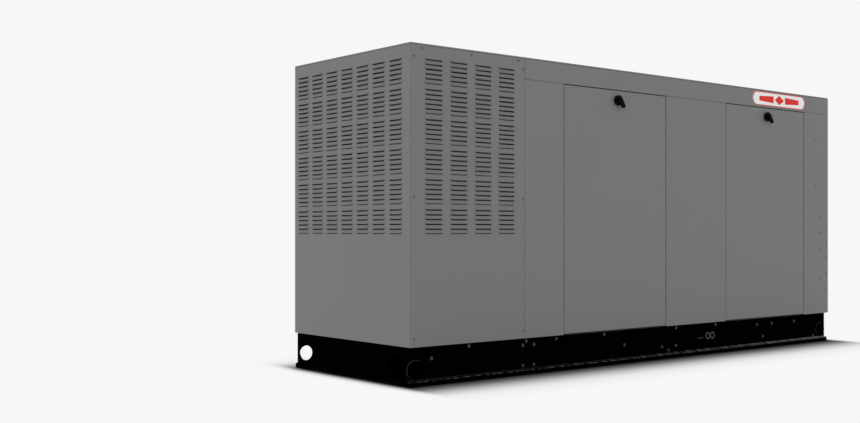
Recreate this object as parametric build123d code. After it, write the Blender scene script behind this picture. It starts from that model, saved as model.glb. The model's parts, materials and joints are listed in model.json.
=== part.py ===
"""Standby generator set in a weatherproof steel cabinet, built piece by piece.

Frame: origin on the ground under the middle of the cabinet, +X along the length towards the air
intake end, +Y towards the rear side, +Z up.  The radiator end, with its louvred discharge plenum, is
at -X, and the side at -Y is the front.  Stations along the cabinet are measured from the radiator end.
The front and rear sides are mirror images of each other.
"""

import os
from math import cos, radians, sin

from build123d import *

# ---------------------------------------------------------------- driving dimensions, millimetres
LENGTH = 2840.0          # over the end panels' sheets
WIDTH = 890.0            # over the side panels' sheets
HEIGHT = 1350.0          # ground to roof
BASE_HEIGHT = 155.0      # ground to the underside of the cabinet

SHEET = 2.0              # cabinet sheet
SEAM = 1.5               # gap between two fixed panels
DOOR_GAP = 3.5           # gap round a door
RUN_FIT = 0.05           # radial clearance of a shaft that turns in its bore
TOUCH_GAP = 0.3          # gap between a turning face and the piece it works against

# cabinet bays, along the length from the radiator end
LOUVRE_BAY = 591.0
FILLER_BAY = 229.0
DOOR_BAY = 670.0
CENTRE_BAY = 450.0
HEADER_DROP = 94.0       # height of the fixed strip above the doors
DOOR_LIFT = 6.0          # the doors end this much above the fixed panels

# roof
ROOF_RIM = 6.5           # visible height of the lid's rim
ROOF_ROUND = 5.0
ROOF_FLANGE = 40.0

# louvres: pressed hoods that open downwards
LOUVRE_LENGTH = 84.0
LOUVRE_DEPTH = 4.5
LOUVRE_HOOD = 7.5        # height of the pressed hood
LOUVRE_SLIT = 5.5        # open height under the hood
LOUVRE_SMALL_SLIT = 3.0  # the last row of every group is shallower
LOUVRE_SKIN = 1.2
ROW_PITCH = 18.9
ROWS_PER_GROUP = 6
GROUP_PITCH = 118.5
TOP_ROW_DROP = 60.0      # roof to the first row
DISCHARGE_GROUPS = 6
END_COLUMNS = 7
END_COLUMN_PITCH = 118.5
END_COLUMNS_OFFSET = 12.0  # the columns stand this far left of the sheet's middle, seen from outside
SIDE_COLUMNS = 4
SIDE_COLUMN_PITCH = 126.0
SIDE_FIRST_COLUMN = 114.5
INTAKE_GROUPS = 3
INTAKE_TOP = 690.0       # height of the intake end's first row

# base
RAIL_INSET = 27.0        # the rails' webs stand this far inside the cabinet's sides
RAIL_WEB = 6.0
RAIL_FLANGE = 70.0
RUNNER_HEIGHT = 22.0
RUNNER_FOOT = 8.0        # thickness of the runner's part under the rail
RUNNER_LEDGE = 17.0      # the runner stands this far outside the rail's web
END_PLATE = 6.0
LIFT_RADIUS = 34.0
LIFT_FROM_END = 42.0
LIFT_HEIGHT = 64.0
LIFT_COLLAR = 5.0
LIFT_COLLAR_PROUD = 3.0
END_SLOT_LENGTH = 125.0
END_SLOT_HEIGHT = 80.0
END_SLOT_FROM_SIDE = 100.0
END_SLOT_Z = 80.0
CROSS_WIDTH = 60.0
PAN_THICK = 3.0
PAN_SEAM = 1.0
ANCHOR_FROM_END = 170.0
ANCHOR_RADIUS = 9.0
STUB_STATION = 2130.0    # cable and conduit cut-out in the floor pan
STUB_LENGTH = 430.0
STUB_WIDTH = 300.0

# inner frame
TUBE = 40.0
GASKET_SPACE = 3.0       # between a door's return and the frame behind it
TUBE_WALL = 3.0

# latches
LATCH_DROP = 48.0        # below the door's top line
LATCH_BOSS_RADIUS = 23.5
LATCH_BOSS_PROUD = 12.0
LATCH_BEZEL_RADIUS = 21.0
LATCH_SHAFT_RADIUS = 8.0
LATCH_LEVER_REACH = 41.0
LATCH_LEVER_THICK = 11.0
LATCH_LEVER_TILT = 38.0  # lever's angle from straight down, towards the intake end
LATCH_TIP_RADIUS = 9.5
LATCH_CAM_REACH = 36.0

# engine, measured from the front face of its block and from its crankshaft axis
ENGINE_STATION = 820.0
CRANK_HEIGHT = 520.0
BLOCK_LENGTH = 560.0
DECK_REACH = 250.0       # crankshaft axis to each cylinder bank's deck
DECK_HALF = 85.0
BANK_ANGLE = 45.0
HEAD_HEIGHT = 90.0
COVER_HEIGHT = 55.0
COVER_HALF = 60.0
CRANK_RADIUS = 30.0
END_WALL = 40.0          # the crankcase is open below between its end walls and bearing webs
BEARING_WEB = 24.0
CRANKCASE_HALF = 100.0
CRANKCASE_TOP = 75.0
FRONT_COVER = 12.0
VALLEY_HEIGHT = 150.0
MANIFOLD_HALF = 110.0
MANIFOLD_TOP = 320.0
PAN_RAIL = 90.0          # crankshaft axis down to the oil pan's flange
OIL_PAN_DEPTH = 140.0
OIL_PAN_HALF = 122.0
OIL_PAN_WALL = 5.0
DIPSTICK_X = 350.0
DIPSTICK_Y = -340.0
DIPSTICK_TOP = 190.0
DIPSTICK_LENGTH = 240.0
THROTTLE_X = 300.0
THROTTLE_RADIUS = 52.0
AIR_CLEANER_BOTTOM = 385.0
AIR_CLEANER_HEIGHT = 95.0
AIR_CLEANER_RADIUS = 150.0
ENGINE_FOOT_X = 140.0
ENGINE_FOOT_Y = 235.0

# belt drive at the engine's front
BELT_MIDDLE = 30.0       # in front of the block's front face
BELT_WIDTH = 18.0
BELT_THICK = 8.0
PULLEY_LIP = 2.5
PULLEY_LIP_HEIGHT = 10.0
CRANK_PULLEY_RADIUS = 85.0
FAN_PULLEY_RADIUS = 65.0
CHARGE_PULLEY_RADIUS = 32.0
PULLEY_GAP = 5.0         # between the crank pulley's lip and the fan pulley's
CHARGE_Y = -215.0
CHARGE_Z = -45.0
CHARGE_BODY_RADIUS = 62.0
IDLER_RADIUS = 28.0
IDLER_Z = 85.0
TENSIONER_PIVOT_Y = 98.0
TENSIONER_PIVOT_Z = 5.0
PIN_RADIUS = 8.0

# fan, shroud and radiator
FAN_RADIUS = 300.0
FAN_CLEARANCE = 12.0
FAN_HUB = 60.0
FAN_BLADES = 7
FAN_BLADE_PITCH = 32.0
FAN_DEPTH = 60.0
RADIATOR_DEPTH = 70.0
RADIATOR_HALF = 355.0
RADIATOR_BOTTOM = 215.0
RADIATOR_TOP = 1090.0
TANK_HEIGHT = 60.0
CAP_Y = 200.0
CAP_STEM_RADIUS = 12.0
NECK_HEIGHT = 14.0
SHROUD_DEPTH = 88.0
HOSE_RADIUS = 18.0

# generator end
HOUSING_LENGTH = 110.0
HOUSING_RADIUS = 215.0
FLYWHEEL_RADIUS = 175.0
STATOR_LENGTH = 570.0
STATOR_RADIUS = 225.0
ROTOR_RADIUS = 150.0
AIR_GAP = 1.0
REAR_BRACKET = 60.0
ROTOR_SHAFT_RADIUS = 32.0
GENERATOR_FOOT_FROM_END = 130.0
GENERATOR_FOOT_Y = 190.0
MOUNT_RADIUS = 35.0
MOUNT_HEIGHT = 60.0
FOOT_THICK = 10.0

# exhaust
EXHAUST_RADIUS = 25.0
EXHAUST_WALL = 2.0
MUFFLER_RADIUS = 115.0
MUFFLER_LENGTH = 600.0
MUFFLER_STATION = 290.0
MUFFLER_HEIGHT = 1000.0
MUFFLER_WALL = 3.0
EXHAUST_RUN_HEIGHT = 1215.0
EXHAUST_LOG_RADIUS = 32.0

# control and supply pieces
BOX_STATION = 2150.0
BOX_LENGTH = 400.0
BOX_DEPTH = 200.0
BOX_BOTTOM = 600.0
BOX_TOP = 1120.0
BOX_FRONT_INSET = 150.0  # from the cabinet's side to the control box's front
BREAKER_X, BREAKER_Z = 90.0, 150.0
BREAKER_THROW = 18.0
SWITCH_X, SWITCH_Z = 300.0, 250.0
STOP_X, STOP_Z = 300.0, 130.0
BATTERY = (240.0, 175.0, 210.0)
FUEL_Y = -300.0
FUEL_PIPE_RADIUS = 12.0
FUEL_VALVE_Z = 240.0
REGULATOR_Z = 300.0
REGULATOR_HEIGHT = 100.0
VALVE_BONNET = 45.0
PORT_STATIONS = (1825.0, 1860.0)
PORT_HEIGHT = 89.0
PORT_RADIUS = 12.0
PORT_OUTER_RADIUS = 17.0

# ------------------------------------------------------------------------------ derived places
FRONT_Y = -WIDTH / 2
SIDE_SHEET_Y = FRONT_Y + SHEET
WEB_Y = FRONT_Y + RAIL_INSET
ROOF_LINE = HEIGHT - ROOF_RIM
HEADER_LINE = HEIGHT - HEADER_DROP
DOOR_BOTTOM = BASE_HEIGHT + DOOR_LIFT
DOOR_STATIONS = (LOUVRE_BAY + FILLER_BAY, LOUVRE_BAY + FILLER_BAY + DOOR_BAY + CENTRE_BAY)
CORNER_STATION = DOOR_STATIONS[1] + DOOR_BAY
PAN_TOP = BASE_HEIGHT - RAIL_WEB + PAN_THICK
LATCH_HEIGHT = HEADER_LINE - LATCH_DROP
ENGINE_X = ENGINE_STATION - LENGTH / 2
HOUSING_X = BLOCK_LENGTH
STATOR_X = HOUSING_X + HOUSING_LENGTH
BRACKET_X = STATOR_X + STATOR_LENGTH
GENERATOR_FOOT_X = BRACKET_X - GENERATOR_FOOT_FROM_END
FAN_RISE = CRANK_PULLEY_RADIUS + FAN_PULLEY_RADIUS + 2 * PULLEY_LIP_HEIGHT + PULLEY_GAP
CROSS_STATIONS = (
    LOUVRE_BAY - 30, ENGINE_STATION + ENGINE_FOOT_X, ENGINE_STATION + BLOCK_LENGTH - 60,
    ENGINE_STATION + GENERATOR_FOOT_X, STUB_STATION - 40, STUB_STATION + STUB_LENGTH + 60,
)
BOX_FRONT = FRONT_Y + BOX_FRONT_INSET


def at(station):
    """X of a station measured from the radiator end."""
    return station - LENGTH / 2


def block(x0, x1, y0, y1, z0, z1):
    """A box between two corners."""
    return Pos((x0 + x1) / 2, (y0 + y1) / 2, (z0 + z1) / 2) * Box(x1 - x0, y1 - y0, z1 - z0)


def rod_x(radius, x0, x1, y=0.0, z=0.0):
    """A cylinder along X."""
    return Pos((x0 + x1) / 2, y, z) * Rot(0, 90, 0) * Cylinder(radius, x1 - x0)


def rod_y(radius, y0, y1, x=0.0, z=0.0):
    """A cylinder along Y."""
    return Pos(x, (y0 + y1) / 2, z) * Rot(90, 0, 0) * Cylinder(radius, y1 - y0)


def rod_z(radius, z0, z1, x=0.0, y=0.0):
    """A cylinder along Z."""
    return Pos(x, y, (z0 + z1) / 2) * Cylinder(radius, z1 - z0)


def ring_x(outer, inner, x0, x1, y=0.0, z=0.0):
    """A tube along X."""
    return rod_x(outer, x0, x1, y, z) - rod_x(inner, x0 - 1, x1 + 1, y, z)


def group(*shapes):
    """One node made of separate solids."""
    return Compound([solid for shape in shapes for solid in shape.solids()])


def both_sides(shape):
    """A piece on the front side and its mirror image on the rear side."""
    return group(shape, mirror(shape, Plane.XZ))


def prism_x(points, x0, x1):
    """A profile in the YZ plane, extruded along X."""
    face = make_face(Plane.YZ * Polyline(*points, close=True))
    return Pos(x0, 0, 0) * extrude(face, x1 - x0)


def mirrored_profile(points):
    """Completes a right-hand half profile, listed from the bottom up, with its mirror image."""
    return [*points, *[(-y, z) for y, z in reversed(points) if y > 0]]


def tube_along(points, bend, radius, bore=0.0):
    """A round bar or pipe along straight runs joined by arcs."""
    path = FilletPolyline(*points, radius=bend)
    start = Plane(origin=path @ 0, z_dir=path % 0)
    section = Circle(radius) - Circle(bore) if bore else Circle(radius)
    return sweep(start * section, path)


# ------------------------------------------------------------------------------ louvred panels
def louvre_pair(slit):
    """The outer wedge and the inner cut of one louvre, centred on its hood's lip line."""
    run = LOUVRE_HOOD / LOUVRE_DEPTH
    inner_lip = LOUVRE_DEPTH - LOUVRE_SKIN
    deep = SHEET + 1.0
    wedge = [(0, LOUVRE_HOOD), (-LOUVRE_DEPTH, 0), (0, 0)]
    cut = [(deep, (deep + inner_lip) * run), (-inner_lip, 0), (-inner_lip, -slit), (deep, -slit)]
    cut_length = LOUVRE_LENGTH - 2 * LOUVRE_SKIN
    outer = extrude(make_face(Plane.YZ * Polyline(*wedge, close=True)), LOUVRE_LENGTH / 2, both=True)
    inner = extrude(make_face(Plane.YZ * Polyline(*cut, close=True)), cut_length / 2, both=True)
    return outer, inner


def louvre_column(pitch, bottom, top, first_row, groups):
    """A strip of sheet with one column of louvres; its outer face is at y = 0, its back at +SHEET."""
    strip = block(-pitch / 2, pitch / 2, 0, SHEET, bottom, top)
    hoods, cuts = [], []
    for number in range(groups * ROWS_PER_GROUP):
        set_number, row = divmod(number, ROWS_PER_GROUP)
        slit = LOUVRE_SMALL_SLIT if row == ROWS_PER_GROUP - 1 else LOUVRE_SLIT
        hood, cut = louvre_pair(slit)
        place = Pos(0, 0, first_row - set_number * GROUP_PITCH - row * ROW_PITCH)
        hoods.append(place * hood)
        cuts.append(place * cut)
    return (strip + hoods) - cuts


def louvred_sheet(left, right, first_column, columns, pitch, bottom, top, first_row, groups, edges):
    """A flat sheet from left to right with louvre columns; edges are pieces that join its margins."""
    column = louvre_column(pitch, bottom, top, first_row, groups)
    strips = [Pos(first_column + number * pitch, 0, 0) * column for number in range(columns)]
    field_left = first_column - pitch / 2
    field_right = field_left + columns * pitch
    left_margin = block(left, field_left, 0, SHEET, bottom, top)
    right_margin = block(field_right, right, 0, SHEET, bottom, top)
    if edges:
        left_margin, right_margin = left_margin + edges[0], right_margin + edges[1]
        left_margin = fillet(outer_corner(left_margin, left), ROOF_ROUND - 1)
        right_margin = fillet(outer_corner(right_margin, right), ROOF_ROUND - 1)
    return left_margin.fuse(*strips, right_margin)


def outer_corner(shape, x):
    """The upright edge of a margin piece on its outer face at the given x."""
    return [
        edge
        for edge in shape.edges().filter_by(Axis.Z)
        if abs(edge.center().X - x) < 0.1 and abs(edge.center().Y) < 0.1
    ]


def end_panel(groups, first_row):
    """A louvred end sheet with a return along each side, behind the side panels."""
    half = WIDTH / 2 - SHEET
    bottom = BASE_HEIGHT + SEAM
    returns = [
        block(-half, -half + SHEET, 0, TUBE - 2 * SHEET, bottom, ROOF_LINE - SEAM),
        block(half - SHEET, half, 0, TUBE - 2 * SHEET, bottom, ROOF_LINE - SEAM),
    ]
    first_column = -(END_COLUMNS - 1) * END_COLUMN_PITCH / 2 - END_COLUMNS_OFFSET
    return louvred_sheet(
        -half, half, first_column, END_COLUMNS, END_COLUMN_PITCH, bottom, ROOF_LINE - SEAM,
        first_row, groups, returns,
    )


def radiator_end_panel():
    panel = end_panel(DISCHARGE_GROUPS, HEIGHT - TOP_ROW_DROP)
    return Pos(-LENGTH / 2, 0, 0) * Rot(0, 0, -90) * panel


def intake_end_panel():
    panel = end_panel(INTAKE_GROUPS, INTAKE_TOP)
    return Pos(LENGTH / 2, 0, 0) * Rot(0, 0, 90) * panel


def side_louvre_panels():
    panel = louvred_sheet(
        ROOF_ROUND - 2, LOUVRE_BAY - SEAM / 2, SIDE_FIRST_COLUMN, SIDE_COLUMNS, SIDE_COLUMN_PITCH,
        BASE_HEIGHT + SEAM, ROOF_LINE - SEAM, HEIGHT - TOP_ROW_DROP, DISCHARGE_GROUPS, None,
    )
    return both_sides(Pos(-LENGTH / 2, FRONT_Y, 0) * panel)


# ------------------------------------------------------------------------------ cabinet
def side_sheet(station0, station1, bottom, top, return_left=False, return_right=False):
    """A fixed front-side sheet, with a return along a door's opening where one is asked for."""
    x0, x1 = at(station0), at(station1)
    sheet = block(x0, x1, FRONT_Y, SIDE_SHEET_Y, bottom, top)
    if return_left:
        sheet += block(x0, x0 + SHEET, FRONT_Y, WEB_Y, bottom, top)
    if return_right:
        sheet += block(x1 - SHEET, x1, FRONT_Y, WEB_Y, bottom, top)
    return sheet


def fixed_side_panels():
    """Header strip, filler, centre panel and intake corner panel of each side."""
    half_seam = SEAM / 2
    bottom, top = BASE_HEIGHT + SEAM, HEADER_LINE - half_seam
    first_door, second_door = DOOR_STATIONS
    end = LENGTH - ROOF_ROUND + 2
    header = side_sheet(LOUVRE_BAY + half_seam, end, HEADER_LINE + half_seam, ROOF_LINE - SEAM)
    filler = side_sheet(LOUVRE_BAY + half_seam, first_door, bottom, top, return_right=True)
    centre = side_sheet(first_door + DOOR_BAY, second_door, bottom, top, True, True)
    corner = side_sheet(CORNER_STATION, end, bottom, top, return_left=True)
    return both_sides(group(header, filler, centre, corner))


def roof_panel():
    """A shallow lid: a rounded rim, and a flange that hangs behind the side and end sheets."""
    lid = block(-LENGTH / 2, LENGTH / 2, FRONT_Y, -FRONT_Y, ROOF_LINE, HEIGHT)
    upright = lid.edges().filter_by(Axis.Z)
    lid = fillet(upright, ROOF_ROUND)
    lid = fillet(lid.faces().sort_by(Axis.Z)[-1].edges(), ROOF_ROUND)
    half_x, half_y = LENGTH / 2 - SHEET, WIDTH / 2 - 2 * SHEET
    skirt = block(-half_x, half_x, -half_y, half_y, HEIGHT - ROOF_FLANGE, ROOF_LINE)
    inner_x, inner_y = half_x - SHEET, half_y - SHEET
    inside = block(-inner_x, inner_x, -inner_y, inner_y, HEIGHT - ROOF_FLANGE - 1, HEIGHT - SHEET)
    return lid + skirt - inside


def square_tube(x0, x1, y0, y1, z0, z1, run):
    """A hollow square tube between two corners, open at both ends of its run (0, 1, 2 for X, Y, Z)."""
    low, high = [x0, y0, z0], [x1, y1, z1]
    inner_low = [edge - 1 if axis == run else edge + TUBE_WALL for axis, edge in enumerate(low)]
    inner_high = [edge + 1 if axis == run else edge - TUBE_WALL for axis, edge in enumerate(high)]
    inner = [edge for pair in zip(inner_low, inner_high) for edge in pair]
    return block(x0, x1, y0, y1, z0, z1) - block(*inner)


def cabinet_frame():
    """Square tube posts, header rails, roof bows and door sills, welded on the base."""
    outer, inner = WEB_Y, WEB_Y + TUBE
    first_door, second_door = DOOR_STATIONS
    post_stations = [
        TUBE, LOUVRE_BAY - TUBE, first_door - TUBE + 8, first_door + DOOR_BAY - 8,
        second_door - TUBE + 8, second_door + DOOR_BAY - 8, LENGTH - 2 * TUBE,
    ]
    rail_bottom = HEADER_LINE + SHEET + 4
    rail_top = rail_bottom + TUBE
    side = [
        square_tube(at(s), at(s + TUBE), outer, inner, BASE_HEIGHT, rail_bottom, 2) for s in post_stations
    ]
    side.append(square_tube(at(TUBE), at(LENGTH - TUBE), outer, inner, rail_bottom, rail_top, 0))
    for station in DOOR_STATIONS:
        left, right = station + TUBE / 2, station + DOOR_BAY - TUBE / 2
        sill = block(at(left), at(right), WEB_Y - 22, WEB_Y, BASE_HEIGHT, BASE_HEIGHT + SHEET)
        pins = [
            rod_z(3, BASE_HEIGHT + SHEET, DOOR_BOTTOM + 12, at(s), WEB_Y - 12)
            for s in (left + 60, right - 60)
        ]
        side.append(sill + pins)
    bows = [
        square_tube(at(s), at(s + TUBE), inner, -inner, rail_bottom, rail_top, 1)
        for s in (TUBE, LOUVRE_BAY - TUBE, first_door + DOOR_BAY + 60, LENGTH - 2 * TUBE)
    ]
    return group(both_sides(group(*side)), *bows)


def door(station):
    """A front-side lift-off door: a sheet with returns, standing on two upright locating pins."""
    x0, x1 = at(station) + DOOR_GAP, at(station + DOOR_BAY) - DOOR_GAP
    z0, z1 = DOOR_BOTTOM, HEADER_LINE - DOOR_GAP
    depth = RAIL_INSET - GASKET_SPACE
    pan = block(x0, x1, FRONT_Y, FRONT_Y + depth, z0, z1)
    pan = fillet(pan.edges().filter_by(Axis.Z).filter_by(lambda e: e.center().Y < FRONT_Y + 1), 2)
    pan -= block(x0 + SHEET, x1 - SHEET, SIDE_SHEET_Y, FRONT_Y + depth + 1, z0 + SHEET, z1 - SHEET)
    rib_y = FRONT_Y + 14
    ribs = [
        block(x0 + 60, x1 - 60, SIDE_SHEET_Y, rib_y, z, z + 50)
        - block(x0 + 59, x1 - 59, SIDE_SHEET_Y - 1, rib_y - SHEET, z + SHEET, z + 50 - SHEET)
        for z in (z0 + 250, z1 - 330)
    ]
    left, right = station + TUBE / 2 + 60, station + DOOR_BAY - TUBE / 2 - 60
    slots = [
        block(at(s) - 8, at(s) + 8, WEB_Y - 19, WEB_Y - 4.5, z0 - 1, z0 + 3) for s in (left, right)
    ]
    middle = at(station + DOOR_BAY / 2)
    bore = rod_y(LATCH_SHAFT_RADIUS + RUN_FIT, FRONT_Y - 1, SIDE_SHEET_Y + 1, middle, LATCH_HEIGHT)
    return pan + ribs - slots - bore


def latch_bezel(station):
    """The latch's fixed body: a collar outside the door and a nut behind it."""
    middle = at(station + DOOR_BAY / 2)
    radius = LATCH_BEZEL_RADIUS
    collar = rod_y(radius, FRONT_Y - 4, FRONT_Y, middle, LATCH_HEIGHT)
    nut_plane = Plane(origin=(middle, SIDE_SHEET_Y, LATCH_HEIGHT), z_dir=(0, 1, 0))
    nut = extrude(nut_plane * RegularPolygon(radius - 3, 6), 12)
    bore = rod_y(LATCH_SHAFT_RADIUS + RUN_FIT, FRONT_Y - 5, SIDE_SHEET_Y + 13, middle, LATCH_HEIGHT)
    return group(collar - bore, nut - bore)


def latch_handle(station):
    """A round boss with a wing lever outside, its shaft, and the cam behind the door."""
    middle = at(station + DOOR_BAY / 2)
    boss_back = FRONT_Y - 4 - TOUCH_GAP
    boss_face = boss_back - LATCH_BOSS_PROUD
    boss = rod_y(LATCH_BOSS_RADIUS, boss_face, boss_back, middle, LATCH_HEIGHT)
    boss = chamfer(boss.edges().sort_by(Axis.Y)[0], 2)
    tilt = radians(LATCH_LEVER_TILT)
    reach = LATCH_LEVER_REACH - LATCH_TIP_RADIUS
    tip = (reach * sin(tilt), -reach * cos(tilt))
    outline = make_hull(
        [Circle(LATCH_TIP_RADIUS + 3).edge(), (Pos(*tip) * Circle(LATCH_TIP_RADIUS)).edge()]
    )
    lever_plane = Plane(origin=(middle, boss_face, LATCH_HEIGHT), x_dir=(1, 0, 0), z_dir=(0, -1, 0))
    lever = extrude(lever_plane * outline, LATCH_LEVER_THICK)
    lever = fillet(lever.edges().group_by(Axis.Y)[0], 3)
    cam_y = SIDE_SHEET_Y + 12 + TOUCH_GAP
    shaft = rod_y(LATCH_SHAFT_RADIUS, boss_back, cam_y + 12, middle, LATCH_HEIGHT)
    cam_z0, cam_z1 = LATCH_HEIGHT - 14, LATCH_HEIGHT + LATCH_CAM_REACH
    cam = block(middle - 12, middle + 12, cam_y, cam_y + 5, cam_z0, cam_z1)
    return boss + lever + shaft + cam


# ------------------------------------------------------------------------------ base
def base_rails():
    """An angle along each side, welded on a stepped runner, with a lifting hole near each end."""
    half = LENGTH / 2
    web = block(-half, half, WEB_Y, WEB_Y + RAIL_WEB, RUNNER_FOOT, BASE_HEIGHT)
    flange_y = WEB_Y + RAIL_FLANGE
    top = block(-half, half, WEB_Y, flange_y, BASE_HEIGHT - RAIL_WEB, BASE_HEIGHT)
    ledge = block(-half, half, WEB_Y - RUNNER_LEDGE, WEB_Y, 0, RUNNER_HEIGHT)
    ledge = chamfer(ledge.edges().filter_by(Axis.X).sort_by(Axis.Y)[:2].sort_by(Axis.Z)[-1], 4)
    runner = ledge + block(-half, half, WEB_Y, flange_y, 0, RUNNER_FOOT)
    channel = web + top
    for x in (-LENGTH / 2 + LIFT_FROM_END, LENGTH / 2 - LIFT_FROM_END):
        outer = LIFT_RADIUS + LIFT_COLLAR
        channel += rod_y(outer, WEB_Y - LIFT_COLLAR_PROUD, WEB_Y, x, LIFT_HEIGHT)
        channel -= rod_y(LIFT_RADIUS, WEB_Y - 10, WEB_Y + 10, x, LIFT_HEIGHT)
    anchor_y = WEB_Y + RAIL_FLANGE / 2
    for x in (-LENGTH / 2 + ANCHOR_FROM_END, LENGTH / 2 - ANCHOR_FROM_END):
        runner -= rod_z(ANCHOR_RADIUS, -1, RUNNER_FOOT + 1, x, anchor_y)
    front = channel
    for station in PORT_STATIONS:
        front -= rod_y(PORT_OUTER_RADIUS, WEB_Y - 1, WEB_Y + RAIL_WEB + 1, at(station), PORT_HEIGHT)
    slot_x0, slot_x1 = at(PORT_STATIONS[0] - 72), at(PORT_STATIONS[0] - 28)
    slot_z0, slot_z1 = PORT_HEIGHT - 11, PORT_HEIGHT - 6
    front -= block(slot_x0, slot_x1, WEB_Y - 1, WEB_Y + RAIL_WEB + 1, slot_z0, slot_z1)
    return group(front, mirror(channel, Plane.XZ), both_sides(runner))


def base_cross_members():
    """The two end plates, one with strap slots, and the cross members between the rails."""
    inner_half = WIDTH / 2 - RAIL_INSET - RAIL_WEB
    top = BASE_HEIGHT - RAIL_WEB
    end, inside = LENGTH / 2, LENGTH / 2 - END_PLATE
    intake_plate = block(inside, end, -inner_half, inner_half, RUNNER_HEIGHT, top)
    plate = block(-end, -inside, -inner_half, inner_half, RUNNER_HEIGHT, top)
    slot_face = Plane.YZ * SlotOverall(END_SLOT_LENGTH, END_SLOT_HEIGHT)
    for side in (-1, 1):
        slot_y = side * (WIDTH / 2 - END_SLOT_FROM_SIDE)
        plate -= Pos(-end, slot_y, END_SLOT_Z) * extrude(slot_face, END_PLATE * 2, both=True)
    bottom = RUNNER_HEIGHT + 8
    wall = 5.0
    beams = []
    for station in CROSS_STATIONS:
        x0, x1 = at(station) - CROSS_WIDTH / 2, at(station) + CROSS_WIDTH / 2
        beam = block(x0, x1, -inner_half, inner_half, bottom, top)
        beams.append(beam - block(x0 + wall, x1 + 1, -inner_half, inner_half, bottom + wall, top - wall))
    return group(plate, intake_plate, *beams)


def base_floor_pan():
    """The sheets that close the base; four of them leave the stub-up opening under the control end."""
    half = WIDTH / 2 - RAIL_INSET - RAIL_FLANGE
    level = BASE_HEIGHT - RAIL_WEB
    end = LENGTH / 2 - END_PLATE - 2
    x0, x1 = at(STUB_STATION), at(STUB_STATION) + STUB_LENGTH
    long_sheet = block(-end, x0, -half, half, level, PAN_TOP)
    gas_hole = rod_z(FUEL_PIPE_RADIUS + 8, level - 1, PAN_TOP + 1, at(PORT_STATIONS[0]), FUEL_Y)
    end_sheet = block(x1, end, -half, half, level, PAN_TOP)
    strip = block(x0 + PAN_SEAM, x1 - PAN_SEAM, -half, -STUB_WIDTH / 2, level, PAN_TOP)
    return group(long_sheet - gas_hole, end_sheet, both_sides(strip))


def hex_bolt(x, y, z, size=8.0, proud=6.0):
    """A hexagon head with its washer on a front-side face at y."""
    washer = rod_y(size * 1.25, y - 1.5, y, x, z)
    plane = Plane(origin=(x, y - 1.5, z), x_dir=(1, 0, 0), z_dir=(0, -1, 0))
    return washer + extrude(plane * RegularPolygon(size, 6), proud)


def base_bolts():
    """Bolts in the rails' webs: the cabinet's hold-down row, and the cross members' groups."""
    high, low = BASE_HEIGHT - 14, BASE_HEIGHT - 33
    row = [(s, high) for s in (310, 621, 797, 1094, 1589, 1887)]
    row += [(s, low) for s in (2226, 2352, 2550)]
    group_station, half_pitch = 634.0, 32.0
    row += [(group_station + dx, z) for dx in (-half_pitch, half_pitch) for z in (38.0, 124.0)]
    row += [(120, 105), (1226, 84), (1487, 56), (1534, 37), (1587, 56), (2277, 57), (2728, 33)]
    return both_sides(group(*[hex_bolt(at(s), WEB_Y, z, 6.0, 4.0) for s, z in row]))


def service_ports():
    """Two pipe couplings through the front rail: the gas inlet and the oil drain."""
    couplings = []
    for station in PORT_STATIONS:
        coupling = rod_y(PORT_OUTER_RADIUS, WEB_Y - 6, WEB_Y + 40, at(station), PORT_HEIGHT)
        couplings.append(coupling - rod_y(PORT_RADIUS, WEB_Y - 7, WEB_Y + 30, at(station), PORT_HEIGHT))
    return group(*couplings)


# ------------------------------------------------------------------------------ fasteners and badge
def panel_screws():
    """Pan-head screws of the side sheets and rivets of the intake baffle."""
    points = [(s, HEIGHT - 19) for s in (55, 304, 556)]
    points += [(s, HEIGHT - drop) for s in (18, LOUVRE_BAY - 9) for drop in (53, 603, 1161)]
    points += [(LENGTH - 124, z) for z in (1107, 862)]
    points += [(LENGTH - 71, z) for z in (688, 601, 515, 429, 344)]
    points += [(LENGTH - 18, z) for z in (633, 547, 461, 375, 289)]
    heads = []
    for station, z in points:
        head = rod_y(5.0, FRONT_Y - 2, FRONT_Y, at(station), z)
        heads.append(fillet(head.edges().sort_by(Axis.Y)[0], 1.2))
    return both_sides(group(*heads))


def badge():
    """A plain pill-shaped plate on the front header."""
    length, height, border = 456.0, 72.0, 5.0
    middle = (at(2386.0), FRONT_Y, HEIGHT - 48)
    plane = Plane(origin=middle, x_dir=(1, 0, 0), z_dir=(0, -1, 0))
    plate = extrude(plane * SlotOverall(length, height), 2.0)
    return plate - extrude(plane.offset(1.2) * SlotOverall(length - 2 * border, height - 2 * border), 2.0)


# ------------------------------------------------------------------------------ engine
def bank_box(reach0, reach1, half, x0, x1, round_edges=0.0):
    """A box on the right-hand cylinder bank, between two distances from the crankshaft axis."""
    piece = block(x0, x1, -half, half, reach0, reach1)
    if round_edges:
        piece = fillet(piece.edges().filter_by(lambda e: e.center().Z > reach0 + 1), round_edges)
    return Rot(-BANK_ANGLE, 0, 0) * piece


def both_banks(piece):
    return in_place(both_sides(piece))


def in_place(shape):
    """Moves an engine piece from the engine's own axes to its place in the cabinet."""
    return Pos(ENGINE_X, 0, CRANK_HEIGHT) * shape


def bank_point(reach, offset):
    """(y, z) of a point on the right-hand bank: reach along it and offset towards its outer side."""
    angle = radians(BANK_ANGLE)
    return (reach * sin(angle) + offset * cos(angle), reach * cos(angle) - offset * sin(angle))


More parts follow.
